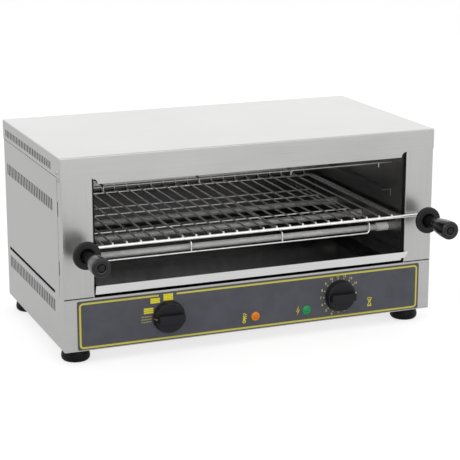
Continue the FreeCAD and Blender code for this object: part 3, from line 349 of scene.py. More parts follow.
def heated_sheet(name, colour, roughness, straw=(1.06, 1.02, 0.97), painted_shade=None):
    """Cavity sheet dulled by heat, with faint straw patches and wiped streaks, and painted shade in a box where
    one is given.
    """
    finish = Finish(name, colour, roughness, 1.0)
    patches = finish.noise(9.0, (1, 1, 1.6), detail=5.0)
    warm = tuple(c * s for c, s in zip(finish.colour, straw))
    finish.tint(patches, (0.35, 0.86), (0.52, 1.0), (0.70, warm))
    streaks = finish.noise(500.0, (0.02, 0.02, 1.0))
    finish.vary_roughness(finish.mean(streaks, patches, 0.5), 0.09)
    finish.bump(streaks, 0.00002)
    # Painted shade inside the given box.
    if painted_shade:
        finish.soil(*painted_shade)
    return finish.material


def mottled(finish, cloud, tones, unevenness, skin=None, depth=0.0):
    """The finish's material, clouded in colour and gloss, with a fine skin."""
    finish.tint(cloud, *tones)
    finish.vary_roughness(cloud, unevenness)
    if skin:
        finish.bump(skin, depth)
    return finish.material


def plated(name, colour, roughness):
    """Bright drawn or plated metal with fine draw marks and dull spots."""
    finish = Finish(name, colour, roughness, 1.0)
    return mottled(finish, finish.noise(160.0, detail=4.0), ((0.30, 0.82), (0.55, 1.0), (0.80, 1.06)), 0.05,
                   finish.noise(1500.0), 0.00001)


def moulded(name, colour, roughness, texture=900.0, depth=0.00002, **constants):
    """Moulded plastic or rubber with a fine skin and slightly uneven gloss."""
    finish = Finish(name, colour, roughness, **constants)
    return mottled(finish, finish.noise(45.0), ((0.3, 0.88), (0.5, 1.0), (0.7, 1.12)), 0.04,
                   finish.noise(texture, detail=2.0), depth)


def printed(name, colour):
    """Screen ink: slightly uneven cover, satin."""
    finish = Finish(name, colour, 0.5)
    return mottled(finish, finish.noise(700.0), ((0.25, 0.84), (0.5, 1.0), (0.8, 1.05)), 0.06)


def lens_finish(name, colour, centre, radius):
    """Tinted cap with painted light: a painted highlight in the middle, painted shade round it, a painted
    highlight on a ring and painted shade at the rim.
    """
    finish = Finish(name, colour, 0.22, IOR=1.42)
    mapping = finish.node("ShaderNodeMapping", Vector=finish.coordinates.outputs["Object"],
                          Location=(-centre[0] / radius, 0.0, -centre[2] / radius),
                          Scale=(1 / radius, 0.0, 1 / radius))
    away = finish.node("ShaderNodeVectorMath", {"operation": "LENGTH"}, Vector=mapping).outputs["Value"]
    ribs = finish.noise(900.0, (1, 0.1, 1), detail=1.0)
    # Painted highlights and painted shade in rings round the cap's centre.
    finish.tint(finish.maths("ADD", away, finish.spread(ribs, -0.05, 0.05)),
                (0.16, 1.05), (0.30, 0.62), (0.44, 0.62), (0.58, 1.0), (0.86, 1.0), (0.98, 0.62))
    finish.bump(ribs, 0.00006)
    return finish.material


def quartz_finish(name, colour):
    """Milky quartz: cloudy, half clear, satin outside."""
    finish = Finish(name, colour, 0.26, IOR=1.46, Transmission_Weight=0.30)
    return mottled(finish, finish.noise(120.0, (0.2, 1, 1), detail=4.0), ((0.3, 0.86), (0.5, 1.0), (0.7, 1.1)),
                   0.06, finish.noise(1200.0, (0.1, 1, 1)), 0.00002)


def ceramic_finish(name):
    """Unglazed steatite with a fine grain and a little heat stain."""
    finish = Finish(name, (0.94, 0.93, 0.90), 0.5)
    return mottled(finish, finish.noise(70.0, detail=5.0),
                   ((0.3, (0.82, 0.78, 0.70)), (0.48, 1.0), (0.75, 1.03)), 0.08, finish.noise(2500.0), 0.00003)


def coat(material, *names):
    """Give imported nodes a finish. Their shape stays as it is."""
    for name in names:
        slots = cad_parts[name].data.materials
        slots.clear()
        slots.append(material)


# Meshes made point by point

def eased(outline, steps=5):
    """Outline points (radius, distance, rounding) with each rounded corner replaced by a short curve."""
    points = []
    for k, corner in enumerate(outline):
        here = Vector(corner[:2])
        rounding = corner[2] if len(corner) > 2 else 0
        if not rounding or k in (0, len(outline) - 1):
            points.append(here)
            continue
        before = Vector(outline[k - 1][:2])
        after = Vector(outline[k + 1][:2])
        first = here + (before - here).normalized() * min(rounding, (before - here).length * 0.49)
        last = here + (after - here).normalized() * min(rounding, (after - here).length * 0.49)
        for step in range(steps + 1):
            share = step / steps
            points.append(first.lerp(here, share).lerp(here.lerp(last, share), share))
    return points


class Shape:
    """A mesh under construction. Numbers are millimetres, turned into metres when it is finished."""

    def __init__(self):
        self.mesh = bmesh.new()

    def ring(self, centre, axis, outline, distance):
        return [self.mesh.verts.new(spot(centre, axis, u, v, distance)) for u, v in outline]

    def joined(self, rings):
        """Faces between each ring of points and the next, either of which may be a single point."""
        for lower, upper in zip(rings, rings[1:]):
            for k in range(max(len(lower), len(upper))):
                corners = [lower[k % len(lower)], lower[(k + 1) % len(lower)],
                           upper[(k + 1) % len(upper)], upper[k % len(upper)]]
                unique = [c for n, c in enumerate(corners) if c not in corners[:n]]
                if len(unique) > 2:
                    self.mesh.faces.new(unique)
        return self

    def turned(self, outline, centre, axis="Y", segments=64):
        """Solid of revolution. The outline runs from the axis to the axis, or back to its own start."""
        turns = [2 * math.pi * k / segments for k in range(segments)]
        circle = [(math.cos(turn), math.sin(turn)) for turn in turns]
        rings = []
        for radius, distance in eased(outline):
            around = [(radius * u, radius * v) for u, v in circle] if radius > 1e-6 else [(0, 0)]
            rings.append(self.ring(centre, axis, around, distance))
        if len(rings[0]) > 1:
            rings.append(rings[0])
        return self.joined(rings)

    def stacked(self, rings):
        """Solid between like rings of points, closed at both ends."""
        self.mesh.faces.new(rings[0])
        self.mesh.faces.new(rings[-1])
        return self.joined(rings)

    def finished(self, name, material):
        """The object, in metres, faces outward, shaded smooth but for sharp edges."""
        bmesh.ops.remove_doubles(self.mesh, verts=self.mesh.verts, dist=1e-5)
        bmesh.ops.recalc_face_normals(self.mesh, faces=self.mesh.faces)
        data = bpy.data.meshes.new(name)
        self.mesh.to_mesh(data)
        self.mesh.free()
        data.transform(Matrix.Scale(MM, 4))
        return placed(name, data, material)


def spot(centre, axis, u, v, along):
    """Point in space from two numbers across the Y or Z axis and one along it."""
    x, y, z = centre
    if axis == "Y":
        return Vector((x + u, y + along, z + v))
    return Vector((x + u, y + v, z + along))


def placed(name, data, material=None, sharp=32.0):
    """Link a mesh as an object and set its shading."""
    if material is not None:
        data.materials.clear()
        data.materials.append(material)
    for polygon in data.polygons:
        polygon.use_smooth = True
    data.set_sharp_from_angle(angle=math.radians(sharp))
    return linked(name, data)


def fitted(piece, body, slot, *stands_for):
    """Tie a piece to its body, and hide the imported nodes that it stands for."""
    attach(piece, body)
    if stands_for:
        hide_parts(*stands_for)
    return piece


def turned(name, outline, centre, material, body, slot, *stands_for, axis="Y", segments=64):
    """A turned piece, tied to its body."""
    shape = Shape().turned(outline, centre, axis, segments)
    return fitted(shape.finished(name, material), body, slot, *stands_for)


def bar(length, width, corner, steps=6):
    """Outline of a bar with rounded corners."""
    points = []
    for quarter, (along, across) in enumerate(((1, 1), (-1, 1), (-1, -1), (1, -1))):
        for k in range(steps + 1):
            turn = (quarter + k / steps) * QUARTER
            points.append((along * (length / 2 - corner) + corner * math.cos(turn),
                           across * (width / 2 - corner) + corner * math.sin(turn)))
    return points


# Geometry node trees

class Rule(Tree):
    """A geometry node tree with named inputs, for what repeats or follows a path."""

    def __init__(self, name):
        super().__init__(bpy.data.node_groups.new(name, "GeometryNodeTree"))
        for way in ("INPUT", "OUTPUT"):
            self.tree.interface.new_socket("Geometry", in_out=way, socket_type="NodeSocketGeometry")
        self.way_in = self.tree.nodes.new("NodeGroupInput")
        self.values = {}

    def value(self, name, amount):
        """A named input of the tree and its socket."""
        kind = {int: "NodeSocketInt", float: "NodeSocketFloat"}.get(type(amount), "NodeSocketVector")
        item = self.tree.interface.new_socket(name, in_out="INPUT", socket_type=kind)
        self.values[item.identifier] = amount
        return self.way_in.outputs[name]

    def step(self, kind, settings=None, **sockets):
        return self.node(f"GeometryNode{kind}", settings, **sockets)

    def upright(self, geometry, **move):
        """Geometry drawn flat, stood up to face the front."""
        return self.step("Transform", Geometry=geometry, Rotation=(QUARTER, 0.0, 0.0), **move)

    @property
    def given(self):
        return self.way_in.outputs["Geometry"]

    def close(self, geometry, material):
        """End the tree in realised instances and one material."""
        real = self.step("RealizeInstances", Geometry=geometry)
        self.node("NodeGroupOutput", Geometry=self.step("SetMaterial", Geometry=real, Material=material))
        return self

    def made(self, name, points, edges=(), turns=None, sharp=40.0):
        """Run the tree on a few points and keep the result as a plain mesh."""
        seed = bpy.data.meshes.new(f"{name}_points")
        seed.from_pydata([tuple(p) for p in points], [tuple(e) for e in edges], [])
        if turns is not None:
            spins = seed.attributes.new("turn", "FLOAT_VECTOR", "POINT")
            for k, turn in enumerate(turns):
                spins.data[k].vector = turn
        carrier = linked(f"{name}_points", seed)
        modifier = carrier.modifiers.new("rule", "NODES")
        modifier.node_group = self.tree
        for identifier, amount in self.values.items():
            modifier[identifier] = amount
        graph = bpy.context.evaluated_depsgraph_get()
        result = bpy.data.meshes.new_from_object(carrier.evaluated_get(graph))
        carrier.modifiers.remove(modifier)
        bpy.data.objects.remove(carrier)
        if not result.polygons:
            raise RuntimeError(f"the rule for {name} made no faces")
        result.name = name
        return placed(name, result, None, sharp)


def beads(name, points, radius, material, stretch=(1.0, 1.25, 0.75)):
    """Small rounded lumps at points, such as the welds where wires cross."""
    rule = Rule(f"{name} rule")
    ball = rule.step("MeshUVSphere", Segments=14, Rings=9, Radius=rule.value("Radius", radius))
    squeezed = rule.step("Transform", Geometry=ball, Scale=rule.value("Stretch", tuple(stretch)))
    spread = rule.step("InstanceOnPoints", Points=rule.given, Instance=squeezed)
    return rule.close(spread, material).made(name, points, sharp=180.0)


def ribbons(name, lines, width, height, corner, material):
    """Flat printed lines along paths drawn as (x, z), raised from the film."""
    rule = Rule(f"{name} rule")
    path = rule.step("MeshToCurve", Mesh=rule.given)
    if corner:
        path = rule.step("FilletCurve", {"mode": "POLY"}, Curve=path, Count=8,
                         Radius=rule.value("Corner", corner))
    level = rule.step("SetCurveNormal", {"mode": "Z_UP"}, Curve=path)
    band = rule.step("CurvePrimitiveQuadrilateral", Width=rule.value("Width", width),
                     Height=rule.value("Height", height))
    flat = rule.step("CurveToMesh", Curve=level, Profile_Curve=band, Fill_Caps=True)
    stood = rule.upright(flat, Translation=rule.value("Face", (0.0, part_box("control_overlay")[0].y, 0.0)))
    points, edges = [], []
    for line in lines:
        start = len(points)
        points += [(x * MM, z * MM, 0.0) for x, z in line]
        edges += [(start + k, start + k + 1) for k in range(len(line) - 1)]
    return rule.close(stood, material).made(name, points, edges)


# Operators, one for each piece or group of like pieces

class GRILL_OT_case(Operator):
    """Brush the case: base, cover, side and back panels level, the two posts upright, with painted shade inside
    the base shell
    """
    bl_idname = "grill.case"
    bl_label = "Brush the Case"

    def execute(self, context):
        own = context.scene.toaster_grill.sheet
        steel = (own.case_colour, own.case_roughness, own.grain)
        low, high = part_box("base_shell")
        inside = Vector((1.6, 1.6, 1.6)) * MM
        # Painted shade: inside the base shell's walls, deck included, the steel keeps only a small share of its
        # colour.
        deck_shade_share = 0.12
        deck_shade = (low + inside, high + Vector((-inside.x, -inside.y, inside.z)), deck_shade_share)
        coat(brushed("steel brushed base", *steel, painted_shade=deck_shade), "base_shell")
        coat(brushed("steel brushed level", *steel), "top_cover", *both("side_panel"), "back_panel",
             "base_plate")
        coat(brushed("steel brushed upright", *steel, upright=True), *both("post"))
        return {"FINISHED"}


class GRILL_OT_cavity(Operator):
    """Dull the cavity's sheets by heat, paint light on the back above the rack and on the reflector, paint
    shade on the walls' flanges and in the tray's pan, and give the crumb tray its satin face
    """
    bl_idname = "grill.cavity"
    bl_label = "Dull the Cavity"

    def execute(self, context):
        own = context.scene.toaster_grill.sheet
        colour, roughness = Vector(own.liner_colour), own.liner_roughness
        edge = 1.2 * MM
        wall_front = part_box("left_cavity_wall")[0].y
        tray_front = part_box("base_shell")[0].y
        # Painted shade on the cavity back below the rack's top.
        under_rack_shade = ((-1.0, -1.0, 0.0), (1.0, 1.0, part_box("wire_rack")[1].z), 0.2)
        # Painted shade: the walls' front flanges keep only 5 per cent of their colour, standing in for the
        # shade at the window's edges.
        flange_shade = ((-1.0, wall_front - MM, 0.0), (1.0, wall_front + edge, 1.0), 0.05)
        # Painted shade: the tray's pan keeps only a share of its colour, standing in for the dark cavity it
        # reflects.
        pan = ((-1.0, tray_front + edge, 0.0), (1.0, 1.0, 1.0), own.pan_share)
        coat(heated_sheet("liner dulled by heat", colour, roughness), *both("lower_guide"),
             *both("upper_guide"), *both("tray_runner"))
        # Painted light and shade: the back is painted 1.7 times lighter than the liner, and below the rack's
        # top painted shade takes it back to about the liner's tone.
        coat(heated_sheet("liner behind the tubes", 1.7 * colour, roughness, painted_shade=under_rack_shade), "cavity_back")
        # Cavity walls with painted shade on their front flanges.
        coat(heated_sheet("liner with a sooty edge", colour, roughness, painted_shade=flange_shade), *both("cavity_wall"))
        # Painted light: the reflector is the liner's finish painted 2.2 times lighter, so the wires have light
        # to reflect; its warm tint is heat colour.
        coat(heated_sheet("reflector blued by heat", 2.2 * colour, roughness - 0.12, (1.1, 1.02, 0.94)),
             "upper_reflector")
        coat(brushed("tray satin", own.tray_colour, 0.16, own.grain, painted_shade=pan), "crumb_tray")
        return {"FINISHED"}


class GRILL_OT_wires(Operator):
    """Brighten the rack and both guards, and set a weld bead where their wires cross"""
    bl_idname = "grill.wires"
    bl_label = "Weld the Wires"

    def execute(self, context):
        own = context.scene.toaster_grill.sheet
        wire = plated("wire bright", own.wire_colour, 0.32)
        dull = plated("wire dulled by heat", own.roof_wire_colour, 0.34)
        coat(wire, "wire_rack", "lower_guard")
        coat(dull, "upper_guard")
        self.rack_welds(own, wire)
        small = own.bead_radius * 0.95
        low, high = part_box("upper_guard")
        hooks = (-0.240, -0.080, 0.080, 0.240)
        tips = [(x, low.y + 1.5 * MM, low.z + 0.6 * MM) for x in hooks]
        rows = [(x, y, high.z - 3.1 * MM) for x in hooks for y in (-0.0785, 0.0275, 0.1475)]
        fitted(beads("upper_guard_beads", tips + rows, small, dull, (1, 1, 0.9)), "case", "wire_steel")
        low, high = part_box("lower_guard")
        bars = [-0.253 + 0.160 * k for k in range(4)]
        crossings = [(x, y, high.z - 3.0 * MM) for x in bars for y in (0.0175, 0.1305, 0.1775)]
        feet = [(x, low.y + 1.5 * MM, low.z + 1.5 * MM) for x in bars[1:-1]]
        fitted(beads("lower_guard_beads", crossings + feet, small, wire, (1, 1, 0.9)), "case", "wire_steel")
        return {"FINISHED"}

    def rack_welds(self, own, wire):
        """A bead where each of the rack's wires ends on its front and its rear bar."""
        wires = 22
        pitch = 23.0 * MM
        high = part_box("wire_rack")[1]
        seam = high.z - 8.9 * MM
        bar_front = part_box("base_shell")[0].y - 7.0 * MM
        bar_rear = high.y - 5.75 * MM
        welds = [((k - (wires - 1) / 2) * pitch, y, seam) for y in (bar_front, bar_rear) for k in range(wires)]
        fitted(beads("rack_weld_beads", welds, own.bead_radius, wire), "rack", "wire_steel")


class GRILL_OT_heaters(Operator):
    """Wind the heating coils inside milky quartz sleeves with ceramic ends"""
    bl_idname = "grill.heaters"
    bl_label = "Wind the Heaters"

    def execute(self, context):
        own = context.scene.toaster_grill.heater
        coat(quartz_finish("quartz milky", own.quartz_colour), "lower_quartz_tubes", "upper_quartz_tubes")
        coat(ceramic_finish("ceramic unglazed"), "tube_caps")
        wire = plated("heater wire oxidised", (0.30, 0.27, 0.25), 0.45)
        for level in ("lower", "upper"):
            low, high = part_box(f"{level}_windings")
            span = high.x - low.x
            radius = (high.z - low.z) / 2
            starts = [(low.x, low.y + radius + k * ((high.y - low.y) / 2 - radius), low.z + radius)
                      for k in range(3)]
            rule = Rule(f"{level} coil rule")
            turn = rule.value("Coil Radius", radius - own.coil_wire)
            spiral = rule.step("CurveSpiral", Resolution=12, Start_Radius=turn, End_Radius=turn,
                               Rotations=rule.value("Turns", span / own.coil_pitch),
                               Height=rule.value("Length", span))
            lying = rule.step("Transform", Geometry=spiral, Rotation=(0.0, QUARTER, 0.0))
            ring = rule.step("CurvePrimitiveCircle", Resolution=5,
                             Radius=rule.value("Wire Radius", own.coil_wire))
            coil = rule.step("CurveToMesh", Curve=lying, Profile_Curve=ring, Fill_Caps=True)
            rule.close(rule.step("InstanceOnPoints", Points=rule.given, Instance=coil), wire)
            fitted(rule.made(f"{level}_heater_coils", starts, sharp=180.0), "case", "heater_wire",
                   f"{level}_windings")
        return {"FINISHED"}


class GRILL_OT_control_print(Operator):
    """Print the control film: border, switch signs, timer dots, numbers and lamp signs"""
    bl_idname = "grill.control_print"
    bl_label = "Print the Control Film"

    def execute(self, context):
        own = context.scene.toaster_grill.print
        coat(moulded("film dark grey", own.film_colour, 0.42, 1600.0, 0.00001), "control_overlay")
        ink = printed("ink yellow", own.ink_colour)
        line = printed("ink border", own.line_colour)
        shade = printed("border shade", own.edge_colour)
        selector = middle("selector_knob")
        timer = middle("timer_knob")
        thick = own.ink_height * 2
        left, right, low, high = -294.5, 294.5, 29.0, 100.6
        border = [[(-135.0, high), (right, high), (right, low), (left, low), (left, high), (-165.0, high)]]
        bars, waves = self.switch_signs(selector)
        for name, paths, width, height, corner, colour in (
                ("border", border, own.line_width, thick, own.line_corner, line),
                ("border_shade", border, own.edge_width, own.ink_height, own.line_corner, shade),
                ("switch_bars", bars, SIGN_BAR * MM, thick, 0, ink),
                ("switch_waves", waves, 0.8 * MM, thick, 0, line)):
            fitted(ribbons(f"print_{name}", paths, width, height, corner, colour), "case", "overlay")
        self.timer_dots(own, line, timer)
        self.timer_numbers(own, line, timer)
        signs = ribbons("print_lamp_signs", self.lamp_signs(timer), 1.1 * MM, thick, 0, ink)
        fitted(signs, "case", "overlay")
        return {"FINISHED"}

    def switch_signs(self, centre):
        """Four heating signs round the selector: solid bars for the tubes that are on, waves for off."""
        bars = []
        for dx, dz, width, height, rows in ((-33.7, 13.1, 15.8, 9.0, 3), (-22.5, 28.5, 15.8, 8.2, 3),
                                            (-0.6, 32.4, 16.2, 10.8, 4)):
            x, z = centre.x + dx, centre.z + dz
            for row in range(rows):
                level = z + (row / (rows - 1) - 0.5) * (height - SIGN_BAR)
                bars.append([(x - width / 2, level), (x + width / 2, level)])
        x, z = centre.x - 46.0, centre.z - 0.8
        waves = [[(x + 1.4 * k, z + 4.3 * row + (0.9 if k % 2 else -0.9)) for k in range(13)]
                 for row in (-1, 0, 1)]
        return bars, waves

    def timer_dots(self, own, ink, centre):
        rule = Rule("timer dots rule")
        count = rule.value("Dots", own.dot_count)
        ring = rule.value("Dial Radius", own.dial_radius)
        index = rule.step("InputIndex")
        turn = rule.maths("ADD", rule.maths("MULTIPLY", index, rule.value("Step", -own.dot_step)),
                          rule.value("First", -own.dot_first))
        where = rule.node("ShaderNodeCombineXYZ", X=rule.maths("MULTIPLY", rule.maths("COSINE", turn), ring),
                          Z=rule.maths("MULTIPLY", rule.maths("SINE", turn), ring))
        laid = rule.step("SetPosition", Geometry=rule.step("MeshLine", Count=count), Position=where)
        disc = rule.step("MeshCylinder", Vertices=20, Radius=rule.value("Dot", own.dot_radius),
                         Depth=rule.value("Height", own.ink_height * 2))
        dots = rule.step("InstanceOnPoints", Points=laid, Instance=rule.upright(disc))
        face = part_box("control_overlay")[0].y
        moved = rule.step("Transform", Geometry=dots,
                          Translation=rule.value("Centre", (centre.x * MM, face, centre.z * MM)))
        rule.close(moved, ink)
        fitted(rule.made("print_timer_dots", [(0, 0, 0)]), "case", "overlay")
        turn = math.radians(2.5)
        place = (centre.x + 30 * math.cos(turn), face / MM, centre.z + 30 * math.sin(turn))
        turned("print_timer_zero", [(0, -0.06), (1.5, -0.06), (1.5, 0.06), (0, 0.06)], place, ink, "case",
               "overlay", segments=24)

    def timer_numbers(self, own, ink, centre):
        shape = bmesh.new()
        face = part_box("control_overlay")[0].y
        for number in range(4, own.dot_count + 1):
            turn = -own.dot_first - (number - 1) * own.dot_step
            reach = own.dial_radius + own.digit_height * (1.05 + 0.25 * abs(math.cos(turn)))
            text = bpy.data.curves.new(f"number_{number}", "FONT")
            text.body = str(number)
            text.size = own.digit_height / 0.7
            text.align_x = "CENTER"
            text.align_y = "CENTER"
            text.extrude = own.ink_height
            text.offset = own.digit_height * 0.035
            carrier = linked(f"number_{number}", text)
            graph = bpy.context.evaluated_depsgraph_get()
            letters = bpy.data.meshes.new_from_object(carrier.evaluated_get(graph))
            bpy.data.objects.remove(carrier)
            at = Vector((centre.x * MM + reach * math.cos(turn), face, centre.z * MM + reach * math.sin(turn)))
            letters.transform(Matrix.Translation(at) @ Matrix.Rotation(QUARTER, 4, "X"))
            shape.from_mesh(letters)
        data = bpy.data.meshes.new("print_timer_numbers")
        shape.to_mesh(data)
        shape.free()
        fitted(placed("print_timer_numbers", data, ink), "case", "overlay")

    def lamp_signs(self, timer):
        """Thermometer, lightning and hourglass, each drawn in strokes about its own centre."""
        thermometer = (((-1.4, -4.5), (-1.4, 7.0), (1.4, 7.0), (1.4, -4.5)), ((-2.6, -6.6), (-1.4, -4.5)),
                       ((1.4, -4.5), (2.6, -6.6)), ((-2.6, -6.6), (-1.2, -9.0), (1.2, -9.0), (2.6, -6.6)),
                       ((0, -7.6), (0, 2.0)), ((2.4, 4.6), (4.4, 4.6)), ((2.4, 1.4), (4.4, 1.4)),
                       ((2.4, -1.8), (4.4, -1.8)))
        bolt = (((1.6, 8.0), (-2.6, -0.6), (0.6, 0.2), (-1.4, -8.0), (3.0, 1.8), (-0.2, 1.2), (1.6, 8.0)),
                ((0.6, 4.0), (0, 1.0), (1.2, -0.4), (0, -4.0)))
        glass = (((-4.0, 7.0), (4.0, 7.0)), ((-4.0, -7.0), (4.0, -7.0)),
                 ((-3.0, 7.0), (-3.0, 4.6), (-0.6, 0.0), (-3.0, -4.6), (-3.0, -7.0)),
                 ((3.0, 7.0), (3.0, 4.6), (0.6, 0.0), (3.0, -4.6), (3.0, -7.0)),
                 ((-1.8, 3.4), (1.8, 3.4)), ((-2.0, -5.4), (2.0, -5.4)))
        places = ((-19.0, 46.4, thermometer), (76.0, 46.4, bolt), (timer.x + 55.4, timer.z - 17.6, glass))
        return [[(x + dx, z + dz) for dx, dz in stroke] for x, z, strokes in places for stroke in strokes]


class GRILL_OT_knobs(Operator):
    """Turn both knobs: round skirt, cone and a grip bar across the face"""
    bl_idname = "grill.knobs"
    bl_label = "Turn the Knobs"

    def execute(self, context):
        own = context.scene.toaster_grill.control
        plastic = moulded("knob satin", own.knob_colour, 0.40, 1100.0, 0.00003, Specular_IOR_Level=0.28)
        ink = printed("pointer ink", context.scene.toaster_grill.print.line_colour)
        round_off = own.knob_rounding / MM
        for body in ("selector", "timer"):
            node = f"{body}_knob"
            centre, extent = end_of(node, 1)
            depth = extent.y
            shape = Shape()
            shape.turned([(0, -0.2), (3.2, -0.2), (24.5, -0.2), (24.5, 0), (26.5, 0, 0.4),
                          (26.5, -3.2, round_off), (25.6, -5.0, 1.0), (24.7, -9.2, 1.2), (23.8, -10.4, 0.8),
                          (19.0, -10.3, 2.0), (0, -10.0)], centre)
            layers = ((44.6, 13.6, 2.8, -9.6), (43.5, 13.0, 2.4, -depth + 1.6), (43.0, 12.5, 2.2, -depth + 0.6),
                      (42.0, 11.4, 1.8, -depth + 0.05), (39.6, 9.0, 1.2, -depth))
            shape.stacked([shape.ring(centre, "Y", bar(*sides), distance) for *sides, distance in layers])
            fitted(shape.finished(f"{node}_turned", plastic), body, "knob_plastic", node)
            if body == "selector":
                fitted(self.pointer(centre, ink), body, "knob_plastic")
        coat(plated("shaft steel", (0.62, 0.62, 0.62), 0.25), "selector_shaft", "timer_shaft")
        coat(moulded("switch body black", (0.03, 0.03, 0.03), 0.5), "selector_switch", "timer_unit",
             "terminal_block")
        return {"FINISHED"}

    def pointer(self, centre, ink):
        """Painted line at nine o'clock: up the cone and over the face to the grip bar."""
        mark = Shape()
        line = ((-26.4, -3.4), (-25.7, -5.1), (-24.8, -9.0), (-24.0, -10.3), (-21.9, -10.4))
        section = ((-0.04, -0.05, -0.35), (-0.04, -0.05, 0.35), (0.3, 0.3, 0.35), (0.3, 0.3, -0.35))
        rings = [[mark.mesh.verts.new(spot(centre, "Y", u + du, v, along + depth)) for du, depth, v in section]
                 for u, along in line]
        return mark.stacked(rings).finished("selector_pointer", ink)


class GRILL_OT_lamps(Operator):
    """Make the two indicator lamps with their domed caps"""
    bl_idname = "grill.lamps"
    bl_label = "Cap the Lamps"

    def execute(self, context):
        own = context.scene.toaster_grill.control
        barrels = Shape()
        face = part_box("control_overlay")[0].y / MM
        for label, colour in (("orange", own.orange_colour), ("green", own.green_colour)):
            node = f"{label}_lamp_lens"
            centre = middle(node)
            centre.y = face
            cap = [(0, 1.4), (4.1, 1.4), (4.1, 0.02), (7.6, 0.02), (7.6, -1.0, 0.7), (5.6, -1.5, 0.4),
                   (5.0, -1.1, 0.3), (4.3, -2.2, 0.8), (2.6, -2.9, 0.8), (0, -3.0)]
            clear = lens_finish(f"lens {label}", colour, centre * MM, 7.6 * MM)
            turned(f"{label}_lamp_cap", cap, centre, clear, "case", f"{label}_lens", node, segments=48)
            barrels.turned([(4.3, 0.1), (5.4, 0.1), (5.4, 25.8, 0.8), (4.3, 26.0)], centre, "Y", 40)
            barrels.turned([(0, 1.6), (4.2, 1.6), (4.2, 2.4), (0, 2.4)], centre, "Y", 24)
        fitted(barrels.finished("lamp_barrels", moulded("lamp barrel", (0.04, 0.04, 0.04), 0.45)), "case",
               "black_plastic", "lamp_housings")
        return {"FINISHED"}


class GRILL_OT_handles(Operator):
    """Turn the two grips and heat shields of the rack and plate their nuts and collars"""
    bl_idname = "grill.handles"
    bl_label = "Turn the Handles"

    def execute(self, context):
        own = context.scene.toaster_grill.handle
        plastic = moulded("grip glossy", own.plastic_colour, own.plastic_roughness, 260.0, 0.00003,
                          Specular_IOR_Level=0.35, Coat_Weight=0.2, Coat_Roughness=0.06)
        matt = moulded("shield matt", own.shield_colour, own.shield_roughness, 420.0, 0.00008,
                       Specular_IOR_Level=0.35)
        # Painted shade: a darker, duller copy of the shield's finish for the shaded recess round the grip.
        recess_shade = moulded("shield recess", [0.2 * c for c in own.shield_colour], 0.7, 420.0, 0.00004,
                      Specular_IOR_Level=0.1)
        edge = own.edge_rounding / MM
        for side in ("left", "right"):
            node = f"{side}_handle_shield"
            centre, extent = end_of(node, 0)
            thick, radius = extent.y, extent.z / 2
            outline = [(2.9, thick), (radius - 1.4, thick, 1.2), (radius, thick - 1.8, 1.2), (radius, 1.8, 1.2),
                       (radius - 1.4, 0.1, 1.0), (radius - 4.0, 0.0, 0.8), (12.4, 0.0, 0.5), (10.9, 0.9, 0.6),
                       (10.8, 4.0, 0.4), (2.9, 4.0)]
            disc = turned(f"{side}_shield_disc", outline, centre, matt, "rack", "handle_plastic", node,
                          segments=96)
            self.blacken(disc, recess_shade, centre * MM, 11.2 * MM)
            node = f"{side}_grip"
            end, extent = end_of(node, 0)
            centre.y = end.y
            start = extent.y
            neck = start - 33.0
            outline = [(2.9, start), (9.5, start, 0.4), (9.5, neck, 0.6), (10.9, neck - 0.5, 0.6),
                       (11.8, neck - 2.4, 0.8)]
            for k in range(1, 15):
                share = k / 14
                swell = math.sin(share * QUARTER)
                outline.append((12.0 + 3.2 * swell, neck - 3.0 + share * (9.0 - neck)))
            outline += [(15.2, 2.6, edge), (13.9, 0.3, edge), (9.6, 0.0, 1.2), (7.0, 0.5, 0.6),
                        (6.4, 1.4, 0.4), (6.4, 5.0, 0.4), (2.9, 5.0)]
            turned(f"{side}_grip_turned", outline, centre, plastic, "rack", "handle_plastic", node, segments=96)
        coat(plated("nut dark", (0.035, 0.035, 0.035), 0.24), "grip_nuts")
        coat(plated("collar bright", (0.66, 0.66, 0.66), 0.22), "shield_collars")
        return {"FINISHED"}

    def blacken(self, disc, material, centre, radius):
        """Painted shade: a second, darker finish for the faces inside a circle about the disc's axis, where the
        recess lies in shade.
        """
        disc.data.materials.append(material)
        for polygon in disc.data.polygons:
            away = polygon.center - centre
            if math.hypot(away.x, away.z) < radius:
                polygon.material_index = 1


class GRILL_OT_feet(Operator):
    """Mould the four rubber feet and plate their screws and nuts"""
    bl_idname = "grill.feet"
    bl_label = "Mould the Feet"

    def execute(self, context):
        rubber = moulded("rubber black", (0.003, 0.003, 0.0032), 0.45, 700.0, 0.00004, Specular_IOR_Level=0.16)
        for name in ("left_front", "right_front", "left_rear", "right_rear"):
            node = f"{name}_foot"
            centre, extent = end_of(node, 0, axis=2)
            radius, height = extent.x / 2, extent.z
            outline = [(3.3, 8.0), (9.0, 8.0), (9.0, 0.4, 0.4), (11.0, 0.0, 0.4), (13.6, 0.0, 0.2),
                       (14.1, 0.7, 0.2), (14.6, 0.0, 0.2), (19.6, 0.0, 1.2), (radius - 1.0, 2.4, 1.4),
                       (radius, 4.8, 1.6), (radius, 9.6, 2.6), (radius - 2.0, 16.0, 3.0),
                       (18.8, height - 0.8, 0.5), (18.2, height), (3.3, height)]
            turned(f"{node}_moulded", outline, centre, rubber, "case", "foot_rubber", node, axis="Z",
                   segments=72)
        coat(plated("zinc plate", (0.60, 0.60, 0.58), 0.30), "foot_screws", "foot_nuts")
        return {"FINISHED"}


